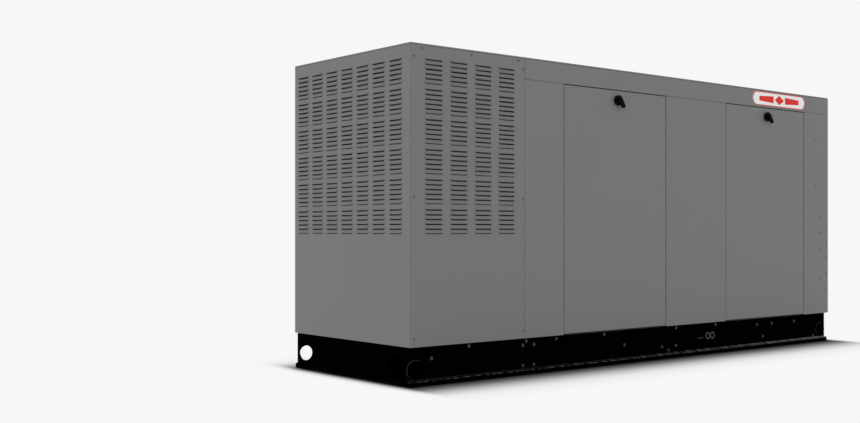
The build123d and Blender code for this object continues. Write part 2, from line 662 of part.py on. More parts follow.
def engine_block():
    """V-shaped block with its front cover, water pump, side feet and crankshaft bore."""
    half_profile = [
        (0, -PAN_RAIL), (130, -PAN_RAIL), (130, -20),
        bank_point(DECK_REACH, DECK_HALF), bank_point(DECK_REACH, -DECK_HALF), (0, VALLEY_HEIGHT),
    ]
    body = prism_x(mirrored_profile(half_profile), 0, BLOCK_LENGTH)
    cover_profile = [(0, -80), (100, -80), (125, 60), (60, 225), (0, 225)]
    body += prism_x(mirrored_profile(cover_profile), -FRONT_COVER, 0)
    pump_front = -BELT_MIDDLE + BELT_WIDTH / 2 + PULLEY_LIP + 1
    body += rod_x(48, pump_front, 0, 0, FAN_RISE)
    foot_x0, foot_x1 = ENGINE_FOOT_X - 40, ENGINE_FOOT_X + 40
    foot_level = PAN_TOP + MOUNT_HEIGHT - CRANK_HEIGHT
    for side in (-1, 1):
        inner, outer = sorted((side * 110, side * (ENGINE_FOOT_Y + 15)))
        body += block(foot_x0, foot_x1, inner, outer, -80, -50)
        leg_inner, leg_outer = sorted((side * (ENGINE_FOOT_Y - 15), side * (ENGINE_FOOT_Y + 15)))
        body += block(foot_x0, foot_x1, leg_inner, leg_outer, foot_level, -50)
        plate_inner, plate_outer = sorted((side * (ENGINE_FOOT_Y - 45), side * (ENGINE_FOOT_Y + 45)))
        body += block(foot_x0, foot_x1, plate_inner, plate_outer, foot_level, foot_level + FOOT_THICK)
    arm_y0, arm_y1 = CHARGE_Y + CHARGE_BODY_RADIUS - 8, -120
    body += block(30, 60, arm_y0, arm_y1, -40, -15)
    body -= rod_x(CHARGE_BODY_RADIUS, 20, 140, CHARGE_Y, CHARGE_Z)
    bay = (BLOCK_LENGTH - 2 * END_WALL - 3 * BEARING_WEB) / 4
    for number in range(4):
        x = END_WALL + number * (bay + BEARING_WEB)
        body -= block(x, x + bay, -CRANKCASE_HALF, CRANKCASE_HALF, -PAN_RAIL - 1, CRANKCASE_TOP)
    body -= rod_x(CRANK_RADIUS + RUN_FIT, -FRONT_COVER - 1, BLOCK_LENGTH + 1)
    body -= rod_x(12 + RUN_FIT, pump_front - 1, 60, 0, FAN_RISE)
    body -= rod_x(PIN_RADIUS + RUN_FIT, -FRONT_COVER - 1, 30, TENSIONER_PIVOT_Y, TENSIONER_PIVOT_Z)
    return in_place(body)


def cylinder_heads():
    return both_banks(bank_box(DECK_REACH, DECK_REACH + HEAD_HEIGHT, DECK_HALF, 30, BLOCK_LENGTH - 20))


def valve_covers():
    start = DECK_REACH + HEAD_HEIGHT
    cover = bank_box(start, start + COVER_HEIGHT, COVER_HALF, 40, BLOCK_LENGTH - 30, 14)
    return both_banks(cover)


def oil_pan():
    """Sump with a deeper rear part, and the upright dipstick tube beside it."""
    top, half = -PAN_RAIL, OIL_PAN_HALF
    sump = block(10, BLOCK_LENGTH - 20, -half, half, top - 80, top)
    sump += block(230, BLOCK_LENGTH - 20, -half, half, top - OIL_PAN_DEPTH, top - 80)
    sump = fillet(sump.edges().filter_by(lambda e: e.center().Z < top - 1), 12)
    wall, end = OIL_PAN_WALL, BLOCK_LENGTH - 20
    sump -= block(10 + wall, end - wall, wall - half, half - wall, top - 80 + wall, top + 1)
    sump -= block(230 + wall, end - wall, wall - half, half - wall, top - OIL_PAN_DEPTH + wall, top)
    tube_y, level = DIPSTICK_Y, top - 50
    tube = tube_along(
        [(DIPSTICK_X, -half, level), (DIPSTICK_X, tube_y, level), (DIPSTICK_X, tube_y, DIPSTICK_TOP)],
        30, 7, 4,
    )
    return in_place(sump + tube)


def oil_dipstick():
    """A blade in the tube, with a ring handle on top of it."""
    y = DIPSTICK_Y
    blade = rod_z(2.5, DIPSTICK_TOP - DIPSTICK_LENGTH, DIPSTICK_TOP + 12, DIPSTICK_X, y)
    cap = rod_z(9, DIPSTICK_TOP + TOUCH_GAP, DIPSTICK_TOP + 14, DIPSTICK_X, y)
    loop = Pos(DIPSTICK_X, y, DIPSTICK_TOP + 30) * Rot(0, 90, 0) * Torus(16, 3.5)
    return in_place(blade + cap + loop)


def intake_manifold():
    """Manifold that fills the valley, with its runners' ribs and the throttle body on top."""
    valley_at_half = VALLEY_HEIGHT + (bank_point(DECK_REACH, -DECK_HALF)[1] - VALLEY_HEIGHT) * (
        MANIFOLD_HALF / bank_point(DECK_REACH, -DECK_HALF)[0]
    )
    profile = mirrored_profile(
        [(0, VALLEY_HEIGHT), (MANIFOLD_HALF, valley_at_half), (MANIFOLD_HALF, MANIFOLD_TOP - 30),
         (MANIFOLD_HALF - 30, MANIFOLD_TOP), (0, MANIFOLD_TOP)]
    )
    body = prism_x(profile, 60, BLOCK_LENGTH - 60)
    rib_half, rib_top = MANIFOLD_HALF - 20, MANIFOLD_TOP + 18
    for x in (130, 230, 330):
        body += block(x, x + 30, -rib_half, rib_half, MANIFOLD_TOP - 10, rib_top)
    throttle = rod_z(THROTTLE_RADIUS, MANIFOLD_TOP, AIR_CLEANER_BOTTOM, THROTTLE_X)
    return in_place(body + throttle)


def air_cleaner():
    top = AIR_CLEANER_BOTTOM + AIR_CLEANER_HEIGHT
    can = rod_z(AIR_CLEANER_RADIUS, AIR_CLEANER_BOTTOM, top, THROTTLE_X)
    can = fillet(can.edges(), 12)
    snorkel = block(THROTTLE_X + 100, THROTTLE_X + 260, -45, 45, AIR_CLEANER_BOTTOM + 20, top - 25)
    return in_place(can + snorkel)


def exhaust_line():
    """(y, z) of the right-hand exhaust manifold's axis, from the crankshaft."""
    return bank_point(DECK_REACH + HEAD_HEIGHT / 2, DECK_HALF + EXHAUST_LOG_RADIUS + 1)


def exhaust_manifolds():
    """A log manifold on each bank's outer side, and its pipe over the radiator to the muffler."""
    log_radius = EXHAUST_LOG_RADIUS
    y, z = exhaust_line()
    log = rod_x(log_radius, 40, BLOCK_LENGTH - 60, y, z)
    stubs = []
    for number in range(4):
        x = 90 + number * 115
        stub = block(x, x + 50, DECK_HALF, DECK_HALF + log_radius, DECK_REACH + 20, DECK_REACH + 70)
        stubs.append(Rot(-BANK_ANGLE, 0, 0) * stub)
    side = in_place(log + stubs)
    start_x, corner_x = ENGINE_X + 45, ENGINE_X - 8
    muffler_x, top = at(MUFFLER_STATION), MUFFLER_HEIGHT + MUFFLER_RADIUS - 5
    drop_y = MUFFLER_LENGTH / 2 - 60
    low, high = CRANK_HEIGHT + z, EXHAUST_RUN_HEIGHT
    line = [
        (start_x, y, low), (corner_x, y, low), (corner_x, y, high),
        (muffler_x, y, high), (muffler_x, drop_y, high), (muffler_x, drop_y, top),
    ]
    pipe = tube_along(line, 26, EXHAUST_RADIUS, EXHAUST_RADIUS - EXHAUST_WALL)
    shell = rod_y(MUFFLER_RADIUS, -MUFFLER_LENGTH / 2, MUFFLER_LENGTH / 2, muffler_x, MUFFLER_HEIGHT)
    return both_sides(side + pipe - shell)


def muffler():
    """Drum across the discharge plenum, on two cradles, with its tailpipe towards the end louvres."""
    x, z = at(MUFFLER_STATION), MUFFLER_HEIGHT
    half = MUFFLER_LENGTH / 2
    tail_z, tail_end = z - 40, x - MUFFLER_RADIUS - 120
    drum = fillet(rod_y(MUFFLER_RADIUS, -half, half, x, z).edges(), 18)
    inside = rod_y(MUFFLER_RADIUS - MUFFLER_WALL, -half + MUFFLER_WALL, half - MUFFLER_WALL, x, z)
    inside = fillet(inside.edges(), 15)
    body = drum - inside + (rod_x(38, tail_end, x - 60, 0, tail_z) - inside)
    body -= rod_x(33, tail_end - 1, x, 0, tail_z)
    for y in (-150, 150):
        leg = block(x - 15, x + 15, y - 20, y + 20, PAN_TOP, z - MUFFLER_RADIUS + MUFFLER_WALL)
        foot = block(x - 60, x + 60, y - 30, y + 30, PAN_TOP, PAN_TOP + 6)
        body += (leg - inside) + foot
    return body


def isolator_mounts():
    """Rubber mounts under the engine's feet and the generator's feet."""
    places = [(ENGINE_X + ENGINE_FOOT_X, y) for y in (-ENGINE_FOOT_Y, ENGINE_FOOT_Y)]
    places += [(ENGINE_X + GENERATOR_FOOT_X, y) for y in (-GENERATOR_FOOT_Y, GENERATOR_FOOT_Y)]
    mounts = []
    for x, y in places:
        mount = rod_z(MOUNT_RADIUS, PAN_TOP, PAN_TOP + MOUNT_HEIGHT, x, y)
        mounts.append(fillet(mount.edges(), 6))
    return group(*mounts)


def flywheel_housing():
    """Bell housing between the block and the generator."""
    bell = rod_x(HOUSING_RADIUS, HOUSING_X, STATOR_X)
    bell -= rod_x(HOUSING_RADIUS - 25, HOUSING_X + 12, STATOR_X + 1)
    return in_place(bell - rod_x(CRANK_RADIUS + RUN_FIT, HOUSING_X - 1, HOUSING_X + 13))


def crankshaft():
    """The shaft through the block, with the flywheel on its rear end."""
    shaft = rod_x(CRANK_RADIUS, -BELT_MIDDLE - BELT_WIDTH / 2 - 8, STATOR_X - 10)
    return in_place(shaft + rod_x(FLYWHEEL_RADIUS, HOUSING_X + 40, HOUSING_X + 75))


def generator_rotor():
    """Wound rotor with four poles on its shaft, joined to the flywheel's end."""
    core_x0, core_x1 = STATOR_X + 60, STATOR_X + STATOR_LENGTH - 60
    core = rod_x(ROTOR_RADIUS, core_x0, core_x1)
    for number in range(4):
        slot = block(core_x0 - 1, core_x1 + 1, -16, 16, ROTOR_RADIUS - 35, ROTOR_RADIUS + 5)
        core -= Rot(45 + 90 * number, 0, 0) * slot
    shaft = rod_x(ROTOR_SHAFT_RADIUS, STATOR_X - 10, BRACKET_X + REAR_BRACKET + 5)
    return in_place(core + shaft)


def generator_stator():
    """Stator frame with fins, a rear bearing bracket, a terminal box and two feet."""
    frame = ring_x(STATOR_RADIUS, ROTOR_RADIUS + AIR_GAP, STATOR_X, BRACKET_X)
    bracket = ring_x(STATOR_RADIUS - 15, ROTOR_SHAFT_RADIUS + RUN_FIT, BRACKET_X, BRACKET_X + REAR_BRACKET)
    bracket -= ring_x(STATOR_RADIUS - 35, 70, BRACKET_X - 1, BRACKET_X + REAR_BRACKET - 12)
    body = frame + bracket
    for number in range(3):
        x = STATOR_X + 100 + number * 160
        body += ring_x(STATOR_RADIUS + 8, STATOR_RADIUS - 5, x, x + 30)
    box_x0, box_x1, box_top = STATOR_X + 150, STATOR_X + 400, STATOR_RADIUS + 90
    body += block(box_x0, box_x1, -110, 110, STATOR_RADIUS - 20, box_top)
    body -= block(box_x0 + 3, box_x1 - 3, -107, 107, STATOR_RADIUS, box_top - 3)
    foot_level = PAN_TOP + MOUNT_HEIGHT - CRANK_HEIGHT
    x0, x1 = GENERATOR_FOOT_X - 40, GENERATOR_FOOT_X + 40
    for side in (-1, 1):
        y0, y1 = sorted((side * 130, side * 240))
        body += block(x0, x1, y0, y1, foot_level, foot_level + FOOT_THICK)
        leg0, leg1 = sorted((side * 150, side * 180))
        body += block(x0, x1, leg0, leg1, foot_level, -120)
    return in_place(body)


# ------------------------------------------------------------------------------ belt drive
def pulley(radius, y, z, bore_x1):
    """A flat-faced pulley with a lip at each side, and its shaft back to the given x."""
    x0, x1 = -BELT_MIDDLE - BELT_WIDTH / 2, -BELT_MIDDLE + BELT_WIDTH / 2
    gap = 0.5
    drum = rod_x(radius, x0 - gap - PULLEY_LIP, x1 + gap + PULLEY_LIP, y, z)
    lip = radius + PULLEY_LIP_HEIGHT
    drum += rod_x(lip, x0 - gap - PULLEY_LIP, x0 - gap, y, z)
    drum += rod_x(lip, x1 + gap, x1 + gap + PULLEY_LIP, y, z)
    return drum if bore_x1 is None else drum + rod_x(*bore_x1, y, z)


def crank_pulley():
    drum = pulley(CRANK_PULLEY_RADIUS, 0, 0, None)
    return in_place(drum - rod_x(CRANK_RADIUS, -100, 10))


def cooling_fan():
    """Fan, hub, water pump shaft and fan pulley, turning as one."""
    fan_back = -ENGINE_STATION + LOUVRE_BAY + RADIATOR_DEPTH + 9 + SHROUD_DEPTH - 6
    fan_front = fan_back - FAN_DEPTH
    body = pulley(FAN_PULLEY_RADIUS, 0, FAN_RISE, (12, fan_back - 5, 50))
    body += rod_x(FAN_HUB, fan_front, fan_back, 0, FAN_RISE)
    body += rod_x(28, fan_back, -BELT_MIDDLE - BELT_WIDTH / 2, 0, FAN_RISE)
    middle = (fan_front + fan_back) / 2
    span0, span1 = FAN_HUB - 8, FAN_RADIUS - 8
    blade = Pos(0, 0, (span0 + span1) / 2) * Rot(0, 0, FAN_BLADE_PITCH) * Box(5, 95, span1 - span0)
    blade &= rod_x(FAN_RADIUS, -FAN_DEPTH / 2, FAN_DEPTH / 2)
    for number in range(FAN_BLADES):
        body += Pos(middle, 0, FAN_RISE) * Rot(number * 360 / FAN_BLADES, 0, 0) * blade
    return in_place(body)


def charging_alternator():
    """Small alternator that keeps the battery charged, strapped to the block's side."""
    can = rod_x(CHARGE_BODY_RADIUS, 20, 140, CHARGE_Y, CHARGE_Z)
    can = fillet(can.edges(), 10)
    nose = rod_x(26, -6, 24, CHARGE_Y, CHARGE_Z)
    return in_place(can + nose - rod_x(PIN_RADIUS + RUN_FIT, -7, 101, CHARGE_Y, CHARGE_Z))


def charging_pulley():
    drum = pulley(CHARGE_PULLEY_RADIUS, CHARGE_Y, CHARGE_Z, (PIN_RADIUS, -BELT_MIDDLE, 100))
    return in_place(drum)


def belt_loop(extra):
    """The belt's outline: the hull of the pulleys' circles, grown by extra."""
    circles = [
        Circle(CRANK_PULLEY_RADIUS + extra),
        Pos(0, FAN_RISE) * Circle(FAN_PULLEY_RADIUS + extra),
        Pos(CHARGE_Y, CHARGE_Z) * Circle(CHARGE_PULLEY_RADIUS + extra),
    ]
    return make_hull([circle.edge() for circle in circles])


def drive_belt():
    outline = belt_loop(TOUCH_GAP + BELT_THICK) - belt_loop(TOUCH_GAP)
    plane = Plane(origin=(-BELT_MIDDLE - BELT_WIDTH / 2, 0, 0), x_dir=(0, 1, 0), z_dir=(1, 0, 0))
    return in_place(extrude(plane * outline, BELT_WIDTH))


def belt_tensioner():
    """Idler on a short arm, pressed on the belt's back beside the crankshaft-to-fan run."""
    slope = (CRANK_PULLEY_RADIUS - FAN_PULLEY_RADIUS) / FAN_RISE
    back = TOUCH_GAP * 2 + BELT_THICK + IDLER_RADIUS
    idler_y = (CRANK_PULLEY_RADIUS + back - slope * IDLER_Z) / (1 - slope**2) ** 0.5
    belt_front, belt_back = -BELT_MIDDLE - BELT_WIDTH / 2, -BELT_MIDDLE + BELT_WIDTH / 2
    arm_back = -FRONT_COVER - 1
    body = rod_x(IDLER_RADIUS, belt_front, belt_back, idler_y, IDLER_Z)
    body += rod_x(PIN_RADIUS, belt_back, arm_back, idler_y, IDLER_Z)
    pivot = (TENSIONER_PIVOT_Y, TENSIONER_PIVOT_Z)
    arm = make_hull([(Pos(*pivot) * Circle(14)).edge(), (Pos(idler_y, IDLER_Z) * Circle(12)).edge()])
    plane = Plane(origin=(arm_back - 4, 0, 0), x_dir=(0, 1, 0), z_dir=(1, 0, 0))
    body += extrude(plane * arm, 4)
    return in_place(body + rod_x(PIN_RADIUS, arm_back - 4, 25, *pivot))


# ------------------------------------------------------------------------------ cooling
def radiator():
    """Finned core between two tanks, with the filler neck on the top tank."""
    x0 = at(LOUVRE_BAY) + 2 * SHEET
    x1 = x0 + RADIATOR_DEPTH
    half = RADIATOR_HALF
    core_z0, core_z1 = RADIATOR_BOTTOM + TANK_HEIGHT, RADIATOR_TOP - TANK_HEIGHT
    core = block(x0 + 8, x1 - 8, -half + 15, half - 15, core_z0, core_z1)
    sides = block(x0, x1, -half, -half + 15, RADIATOR_BOTTOM, RADIATOR_TOP)
    tanks = [block(x0, x1, -half, half, z, z + TANK_HEIGHT) for z in (RADIATOR_BOTTOM, core_z1)]
    legs = [block(x0, x1, y, y + 60, PAN_TOP, RADIATOR_BOTTOM) for y in (-half + 40, half - 100)]
    middle, neck_top = (x0 + x1) / 2, RADIATOR_TOP + NECK_HEIGHT
    neck = rod_z(20, RADIATOR_TOP, neck_top, middle, CAP_Y)
    hole = rod_z(CAP_STEM_RADIUS + RUN_FIT, RADIATOR_TOP - 10, neck_top + 1, middle, CAP_Y)
    return core + [sides, mirror(sides, Plane.XZ), *tanks, *legs, neck] - hole


def radiator_cap():
    """Pressure cap with two ears and a stem in the filler neck."""
    x = at(LOUVRE_BAY) + 2 * SHEET + RADIATOR_DEPTH / 2
    base = RADIATOR_TOP + NECK_HEIGHT + TOUCH_GAP
    cap = fillet(rod_z(27, base, base + 12, x, CAP_Y).edges().sort_by(Axis.Z)[-1], 3)
    ears = block(x - 12, x + 12, CAP_Y - 31, CAP_Y + 31, base, base + 5)
    return cap + ears + rod_z(CAP_STEM_RADIUS, RADIATOR_TOP - 6, base, x, CAP_Y)


def radiator_bulkhead():
    """The wall between the engine bay and the discharge plenum, open at the radiator's core."""
    x0 = at(LOUVRE_BAY)
    half = WIDTH / 2 - RAIL_INSET - TUBE
    wall = block(x0, x0 + SHEET, -half, half, BASE_HEIGHT, HEADER_LINE + SHEET + 4)
    core = RADIATOR_HALF - 15
    wall -= block(
        x0 - 1, x0 + SHEET + 1, -core, core, RADIATOR_BOTTOM + TANK_HEIGHT, RADIATOR_TOP - TANK_HEIGHT
    )
    pipe_y = exhaust_line()[0]
    for y in (-pipe_y, pipe_y):
        wall -= rod_x(EXHAUST_RADIUS + 6, x0 - 1, x0 + SHEET + 1, y, EXHAUST_RUN_HEIGHT)
    return wall


def fan_shroud():
    """Flat plate behind the radiator with a ring round the fan's blade tips."""
    x0 = at(LOUVRE_BAY) + 2 * SHEET + RADIATOR_DEPTH
    z = CRANK_HEIGHT + FAN_RISE
    inner = FAN_RADIUS + FAN_CLEARANCE
    z0, z1 = RADIATOR_BOTTOM + TANK_HEIGHT, RADIATOR_TOP - TANK_HEIGHT
    plate = block(x0, x0 + 3, -RADIATOR_HALF, RADIATOR_HALF, z0, z1)
    plate -= rod_x(inner, x0 - 1, x0 + 4, 0, z)
    return plate + ring_x(inner + 3, inner, x0, x0 + SHROUD_DEPTH, 0, z)


def coolant_hoses():
    """Top and bottom hoses between the radiator's tanks and the engine."""
    tank_x = at(LOUVRE_BAY) + 2 * SHEET + RADIATOR_DEPTH
    top_z = RADIATOR_TOP - TANK_HEIGHT / 2
    manifold_z = CRANK_HEIGHT + 275
    top = tube_along(
        [(tank_x, -60, top_z), (ENGINE_X + 8, -60, top_z), (ENGINE_X + 8, -60, manifold_z),
         (ENGINE_X + 60, -60, manifold_z)], 40, HOSE_RADIUS,
    )
    low_z, block_side, inlet_z = RADIATOR_BOTTOM + TANK_HEIGHT / 2, 130, CRANK_HEIGHT - 45
    low = tube_along(
        [(tank_x, 175, low_z), (ENGINE_X + 40, 175, low_z), (ENGINE_X + 40, 175, inlet_z),
         (ENGINE_X + 40, block_side, inlet_z)], 40, HOSE_RADIUS,
    )
    return group(top, low)


# ------------------------------------------------------------------------------ supply and control
def battery():
    """Starting battery with its two posts, in the rear of the control bay."""
    length, width, height = BATTERY
    x0 = at(BOX_STATION)
    y0 = WIDTH / 2 - RAIL_INSET - RAIL_FLANGE - 8 - width
    case = block(x0, x0 + length, y0, y0 + width, PAN_TOP, PAN_TOP + height)
    case = fillet(case.edges().filter_by(Axis.Z), 8)
    top = PAN_TOP + height
    lid = block(x0 + 4, x0 + length - 4, y0 + 4, y0 + width - 4, top, top + 12)
    posts = [rod_z(9, top + 12, top + 30, x, y0 + 35) for x in (x0 + 35, x0 + length - 35)]
    return case + lid + posts


def fuel_train():
    """Gas pipe from the inlet coupling, shut-off valve, regulator and pipe to the throttle body."""
    x = at(PORT_STATIONS[0])
    run_z = CRANK_HEIGHT + (MANIFOLD_TOP + AIR_CLEANER_BOTTOM) / 2 + 5
    throttle_x = ENGINE_X + THROTTLE_X
    inlet = tube_along(
        [(x, WEB_Y + 40, PORT_HEIGHT), (x, FUEL_Y, PORT_HEIGHT), (x, FUEL_Y, REGULATOR_Z)],
        30, FUEL_PIPE_RADIUS,
    )
    outlet = tube_along(
        [(x, FUEL_Y, REGULATOR_Z + REGULATOR_HEIGHT), (x, FUEL_Y, run_z), (throttle_x, FUEL_Y, run_z),
         (throttle_x, -THROTTLE_RADIUS + 5, run_z)], 40, FUEL_PIPE_RADIUS,
    )
    regulator = block(
        x - 35, x + 35, FUEL_Y - 35, FUEL_Y + 35, REGULATOR_Z, REGULATOR_Z + REGULATOR_HEIGHT
    )
    regulator = fillet(regulator.edges().filter_by(Axis.Z), 8)
    regulator += rod_y(60, FUEL_Y + 35, FUEL_Y + 60, x, REGULATOR_Z + REGULATOR_HEIGHT / 2)
    valve = rod_z(20, FUEL_VALVE_Z - 22, FUEL_VALVE_Z + 22, x, FUEL_Y)
    valve += rod_y(14, FUEL_Y - VALVE_BONNET, FUEL_Y, x, FUEL_VALVE_Z)
    valve -= rod_y(6 + RUN_FIT, FUEL_Y - VALVE_BONNET - 1, FUEL_Y - 8, x, FUEL_VALVE_Z)
    throttle = rod_z(THROTTLE_RADIUS, run_z - 60, run_z + 60, throttle_x, 0)
    return inlet + regulator + valve + (outlet - throttle)


def fuel_valve_lever():
    """Quarter-turn lever of the gas shut-off valve, in line with the pipe when open."""
    x, y = at(PORT_STATIONS[0]), FUEL_Y - VALVE_BONNET - TOUCH_GAP
    hub = rod_y(12, y - 8, y, x, FUEL_VALVE_Z) + rod_y(6, y, FUEL_Y - 12, x, FUEL_VALVE_Z)
    grip = block(x - 8, x + 8, y - 8, y - 3, FUEL_VALVE_Z, FUEL_VALVE_Z + 78)
    grip = fillet(grip.edges().filter_by(Axis.Y).group_by(Axis.Z)[-1], 6)
    return hub + grip


def control_box():
    """Sheet box on two legs, its front plate carrying the controller, switches and breaker."""
    x0, x1 = at(BOX_STATION), at(BOX_STATION) + BOX_LENGTH
    y0, y1 = BOX_FRONT, BOX_FRONT + BOX_DEPTH
    shell = block(x0, x1, y0, y1, BOX_BOTTOM, BOX_TOP)
    shell = fillet(shell.edges().filter_by(Axis.Z), 4)
    shell -= block(x0 + SHEET, x1 - SHEET, y0 + SHEET, y1 - SHEET, BOX_BOTTOM + SHEET, BOX_TOP - SHEET)
    holes = [
        rod_y(6 + RUN_FIT, y0 - 1, y0 + 3, x0 + SWITCH_X, BOX_BOTTOM + SWITCH_Z),
        rod_y(PIN_RADIUS + RUN_FIT, y0 - 1, y0 + 3, x0 + STOP_X, BOX_BOTTOM + STOP_Z),
    ]
    legs = [block(x, x + 30, y0 + 60, y0 + 100, PAN_TOP, BOX_BOTTOM) for x in (x0 + 10, x1 - 40)]
    return group(shell - holes, *legs)


def controller():
    """Controller module with a recessed display window and four keys."""
    x0, z0 = at(BOX_STATION) + 70, BOX_TOP - 190
    case = block(x0, x0 + 250, BOX_FRONT - 14, BOX_FRONT, z0, z0 + 150)
    case = fillet(case.edges().filter_by(Axis.Y), 10)
    case = chamfer(case.edges().group_by(Axis.Y)[0], 2)
    case -= block(x0 + 25, x0 + 150, BOX_FRONT - 15, BOX_FRONT - 11, z0 + 60, z0 + 125)
    keys = [
        rod_y(8, BOX_FRONT - 16, BOX_FRONT - 13, x0 + 35 + 35 * number, z0 + 30) for number in range(4)
    ]
    return case + keys


def main_breaker():
    """Moulded case breaker with a slot for its handle."""
    x, z = at(BOX_STATION) + BREAKER_X, BOX_BOTTOM + BREAKER_Z
    case = block(x - 55, x + 55, BOX_FRONT - 40, BOX_FRONT, z - 100, z + 100)
    case = fillet(case.edges().filter_by(Axis.Y), 4)
    case += block(x - 35, x + 35, BOX_FRONT - 48, BOX_FRONT - 40, z - 50, z + 50)
    case -= block(x - 16, x + 16, BOX_FRONT - 49, BOX_FRONT - 12, z - 34, z + 34)
    return case


def breaker_handle():
    """Toggle on a pivot inside the breaker's slot, thrown up when closed."""
    x, y, z = at(BOX_STATION) + BREAKER_X, BOX_FRONT - 26, BOX_BOTTOM + BREAKER_Z
    pivot = rod_x(11, x - 15.7, x + 15.7, y, z)
    toggle = block(x - 11, x + 11, -50, 0, -7, 7)
    toggle = fillet(toggle.edges().group_by(Axis.Y)[0], 3)
    return pivot + Pos(0, y, z) * Rot(-BREAKER_THROW, 0, 0) * toggle


def mode_switch():
    """Rotary selector with a pointer, its shaft in the box's front plate."""
    x, z = at(BOX_STATION) + SWITCH_X, BOX_BOTTOM + SWITCH_Z
    y = BOX_FRONT - TOUCH_GAP
    knob = chamfer(rod_y(20, y - 14, y, x, z).edges().sort_by(Axis.Y)[0], 2)
    pointer = block(x - 5, x + 5, y - 26, y - 12, z - 18, z + 18)
    return knob + fillet(pointer.edges().filter_by(Axis.Y), 4) + rod_y(6, y, y + 20, x, z)


def emergency_stop():
    """Mushroom button on its stem."""
    x, z = at(BOX_STATION) + STOP_X, BOX_BOTTOM + STOP_Z
    y = BOX_FRONT - 8
    head = fillet(rod_y(22, y - 16, y, x, z).edges().sort_by(Axis.Y)[0], 6)
    return head + rod_y(PIN_RADIUS, y, BOX_FRONT + 25, x, z)


def intake_baffle():
    """Folded sheet inside the intake end, riveted to the corner panels."""
    half = WIDTH / 2 - RAIL_INSET - TUBE
    end = LENGTH / 2
    line = [(end - 124, 1180), (end - 124, 760), (end - 71, 700), (end - 71, 330), (end - 90, 300)]
    face = offset(Plane.XZ * Polyline(*line), amount=SHEET / 2, kind=Kind.INTERSECTION)
    return extrude(make_face(face), half, both=True)


# ------------------------------------------------------------------------------ the nodes
def nodes():
    """Every node's name and its shape."""
    shapes = {
        "base_rails": base_rails(),
        "base_cross_members": base_cross_members(),
        "base_floor_pan": base_floor_pan(),
        "base_bolts": base_bolts(),
        "service_ports": service_ports(),
        "cabinet_frame": cabinet_frame(),
        "roof_panel": roof_panel(),
        "radiator_end_panel": radiator_end_panel(),
        "intake_end_panel": intake_end_panel(),
        "side_louvre_panels": side_louvre_panels(),
        "fixed_side_panels": fixed_side_panels(),
        "panel_screws": panel_screws(),
        "badge": badge(),
        "radiator_bulkhead": radiator_bulkhead(),
        "intake_baffle": intake_baffle(),
        "engine_block": engine_block(),
        "cylinder_heads": cylinder_heads(),
        "valve_covers": valve_covers(),
        "oil_pan": oil_pan(),
        "intake_manifold": intake_manifold(),
        "air_cleaner": air_cleaner(),
        "exhaust_manifolds": exhaust_manifolds(),
        "muffler": muffler(),
        "radiator": radiator(),
        "fan_shroud": fan_shroud(),
        "coolant_hoses": coolant_hoses(),
        "flywheel_housing": flywheel_housing(),
        "generator_stator": generator_stator(),
        "isolator_mounts": isolator_mounts(),
        "charging_alternator": charging_alternator(),
        "drive_belt": drive_belt(),
        "battery": battery(),
        "fuel_train": fuel_train(),
        "control_box": control_box(),
        "controller": controller(),
        "main_breaker": main_breaker(),
        "crankshaft": crankshaft(),
        "crank_pulley": crank_pulley(),
        "generator_rotor": generator_rotor(),
        "cooling_fan": cooling_fan(),
        "charging_pulley": charging_pulley(),
        "belt_tensioner": belt_tensioner(),
        "breaker_handle": breaker_handle(),
        "emergency_stop": emergency_stop(),
        "mode_switch": mode_switch(),
        "radiator_cap": radiator_cap(),
        "oil_dipstick": oil_dipstick(),
        "fuel_valve_lever": fuel_valve_lever(),
    }
    for make, stem in ((door, "door"), (latch_bezel, "latch_bezel"), (latch_handle, "latch_handle")):
        for station, end in zip(DOOR_STATIONS, ("left", "right")):
            front = make(station)
            shapes[f"{stem}_front_{end}"] = front
            shapes[f"{stem}_rear_{end}"] = mirror(front, Plane.XZ)
    return shapes


os.makedirs("parts", exist_ok=True)
for node_name, shape in nodes().items():
    export_step(shape, f"parts/{node_name}.step")
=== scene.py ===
"""Looks of the standby generator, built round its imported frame."""

import json
import math

import bmesh
import bpy
from mathutils import Matrix, Vector


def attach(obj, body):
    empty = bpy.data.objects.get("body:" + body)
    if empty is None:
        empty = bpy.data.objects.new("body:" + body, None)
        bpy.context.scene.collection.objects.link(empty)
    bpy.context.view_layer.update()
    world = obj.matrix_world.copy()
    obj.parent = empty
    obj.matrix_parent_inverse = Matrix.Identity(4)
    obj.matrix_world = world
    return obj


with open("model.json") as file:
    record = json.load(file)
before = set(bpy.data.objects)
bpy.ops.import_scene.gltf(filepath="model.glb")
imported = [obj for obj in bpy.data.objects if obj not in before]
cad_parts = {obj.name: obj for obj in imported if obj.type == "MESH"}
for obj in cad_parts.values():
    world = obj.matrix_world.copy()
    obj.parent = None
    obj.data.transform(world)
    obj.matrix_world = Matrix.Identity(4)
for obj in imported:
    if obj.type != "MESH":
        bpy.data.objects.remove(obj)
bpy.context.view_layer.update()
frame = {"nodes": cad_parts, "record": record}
nodes = frame["nodes"]


# ------------------------------------------------------------------ driving dimensions, in metres
LENGTH, WIDTH, HEIGHT = 2.840, 0.890, 1.350
FRONT = -WIDTH / 2


def at(station):
    """X of a station in metres from the radiator end."""
    return station - LENGTH / 2


RAIL_FACE = WIDTH / 2 - 0.027     # outer face of the base rails
RUNNER_FACE = WIDTH / 2 - 0.010   # outer face of the runners under them
RUNNER_TOP = 0.022
LIFT_X, LIFT_Z = LENGTH / 2 - 0.042, 0.064
LIFT_COLLAR = 0.034 + 0.005       # outer radius of the collars round the lifting holes
PAN_TOP = 0.152
DOOR_X = {"left": at(0.820), "right": at(1.940)}
DOOR_WIDTH = 0.670
RADIATOR_BACK = at(0.591) + 0.004 + 0.070
CRANK_Z = 0.520
ENGINE_X = at(0.820)
STATOR_X = ENGINE_X + 0.670
BANK = math.radians(45.0)


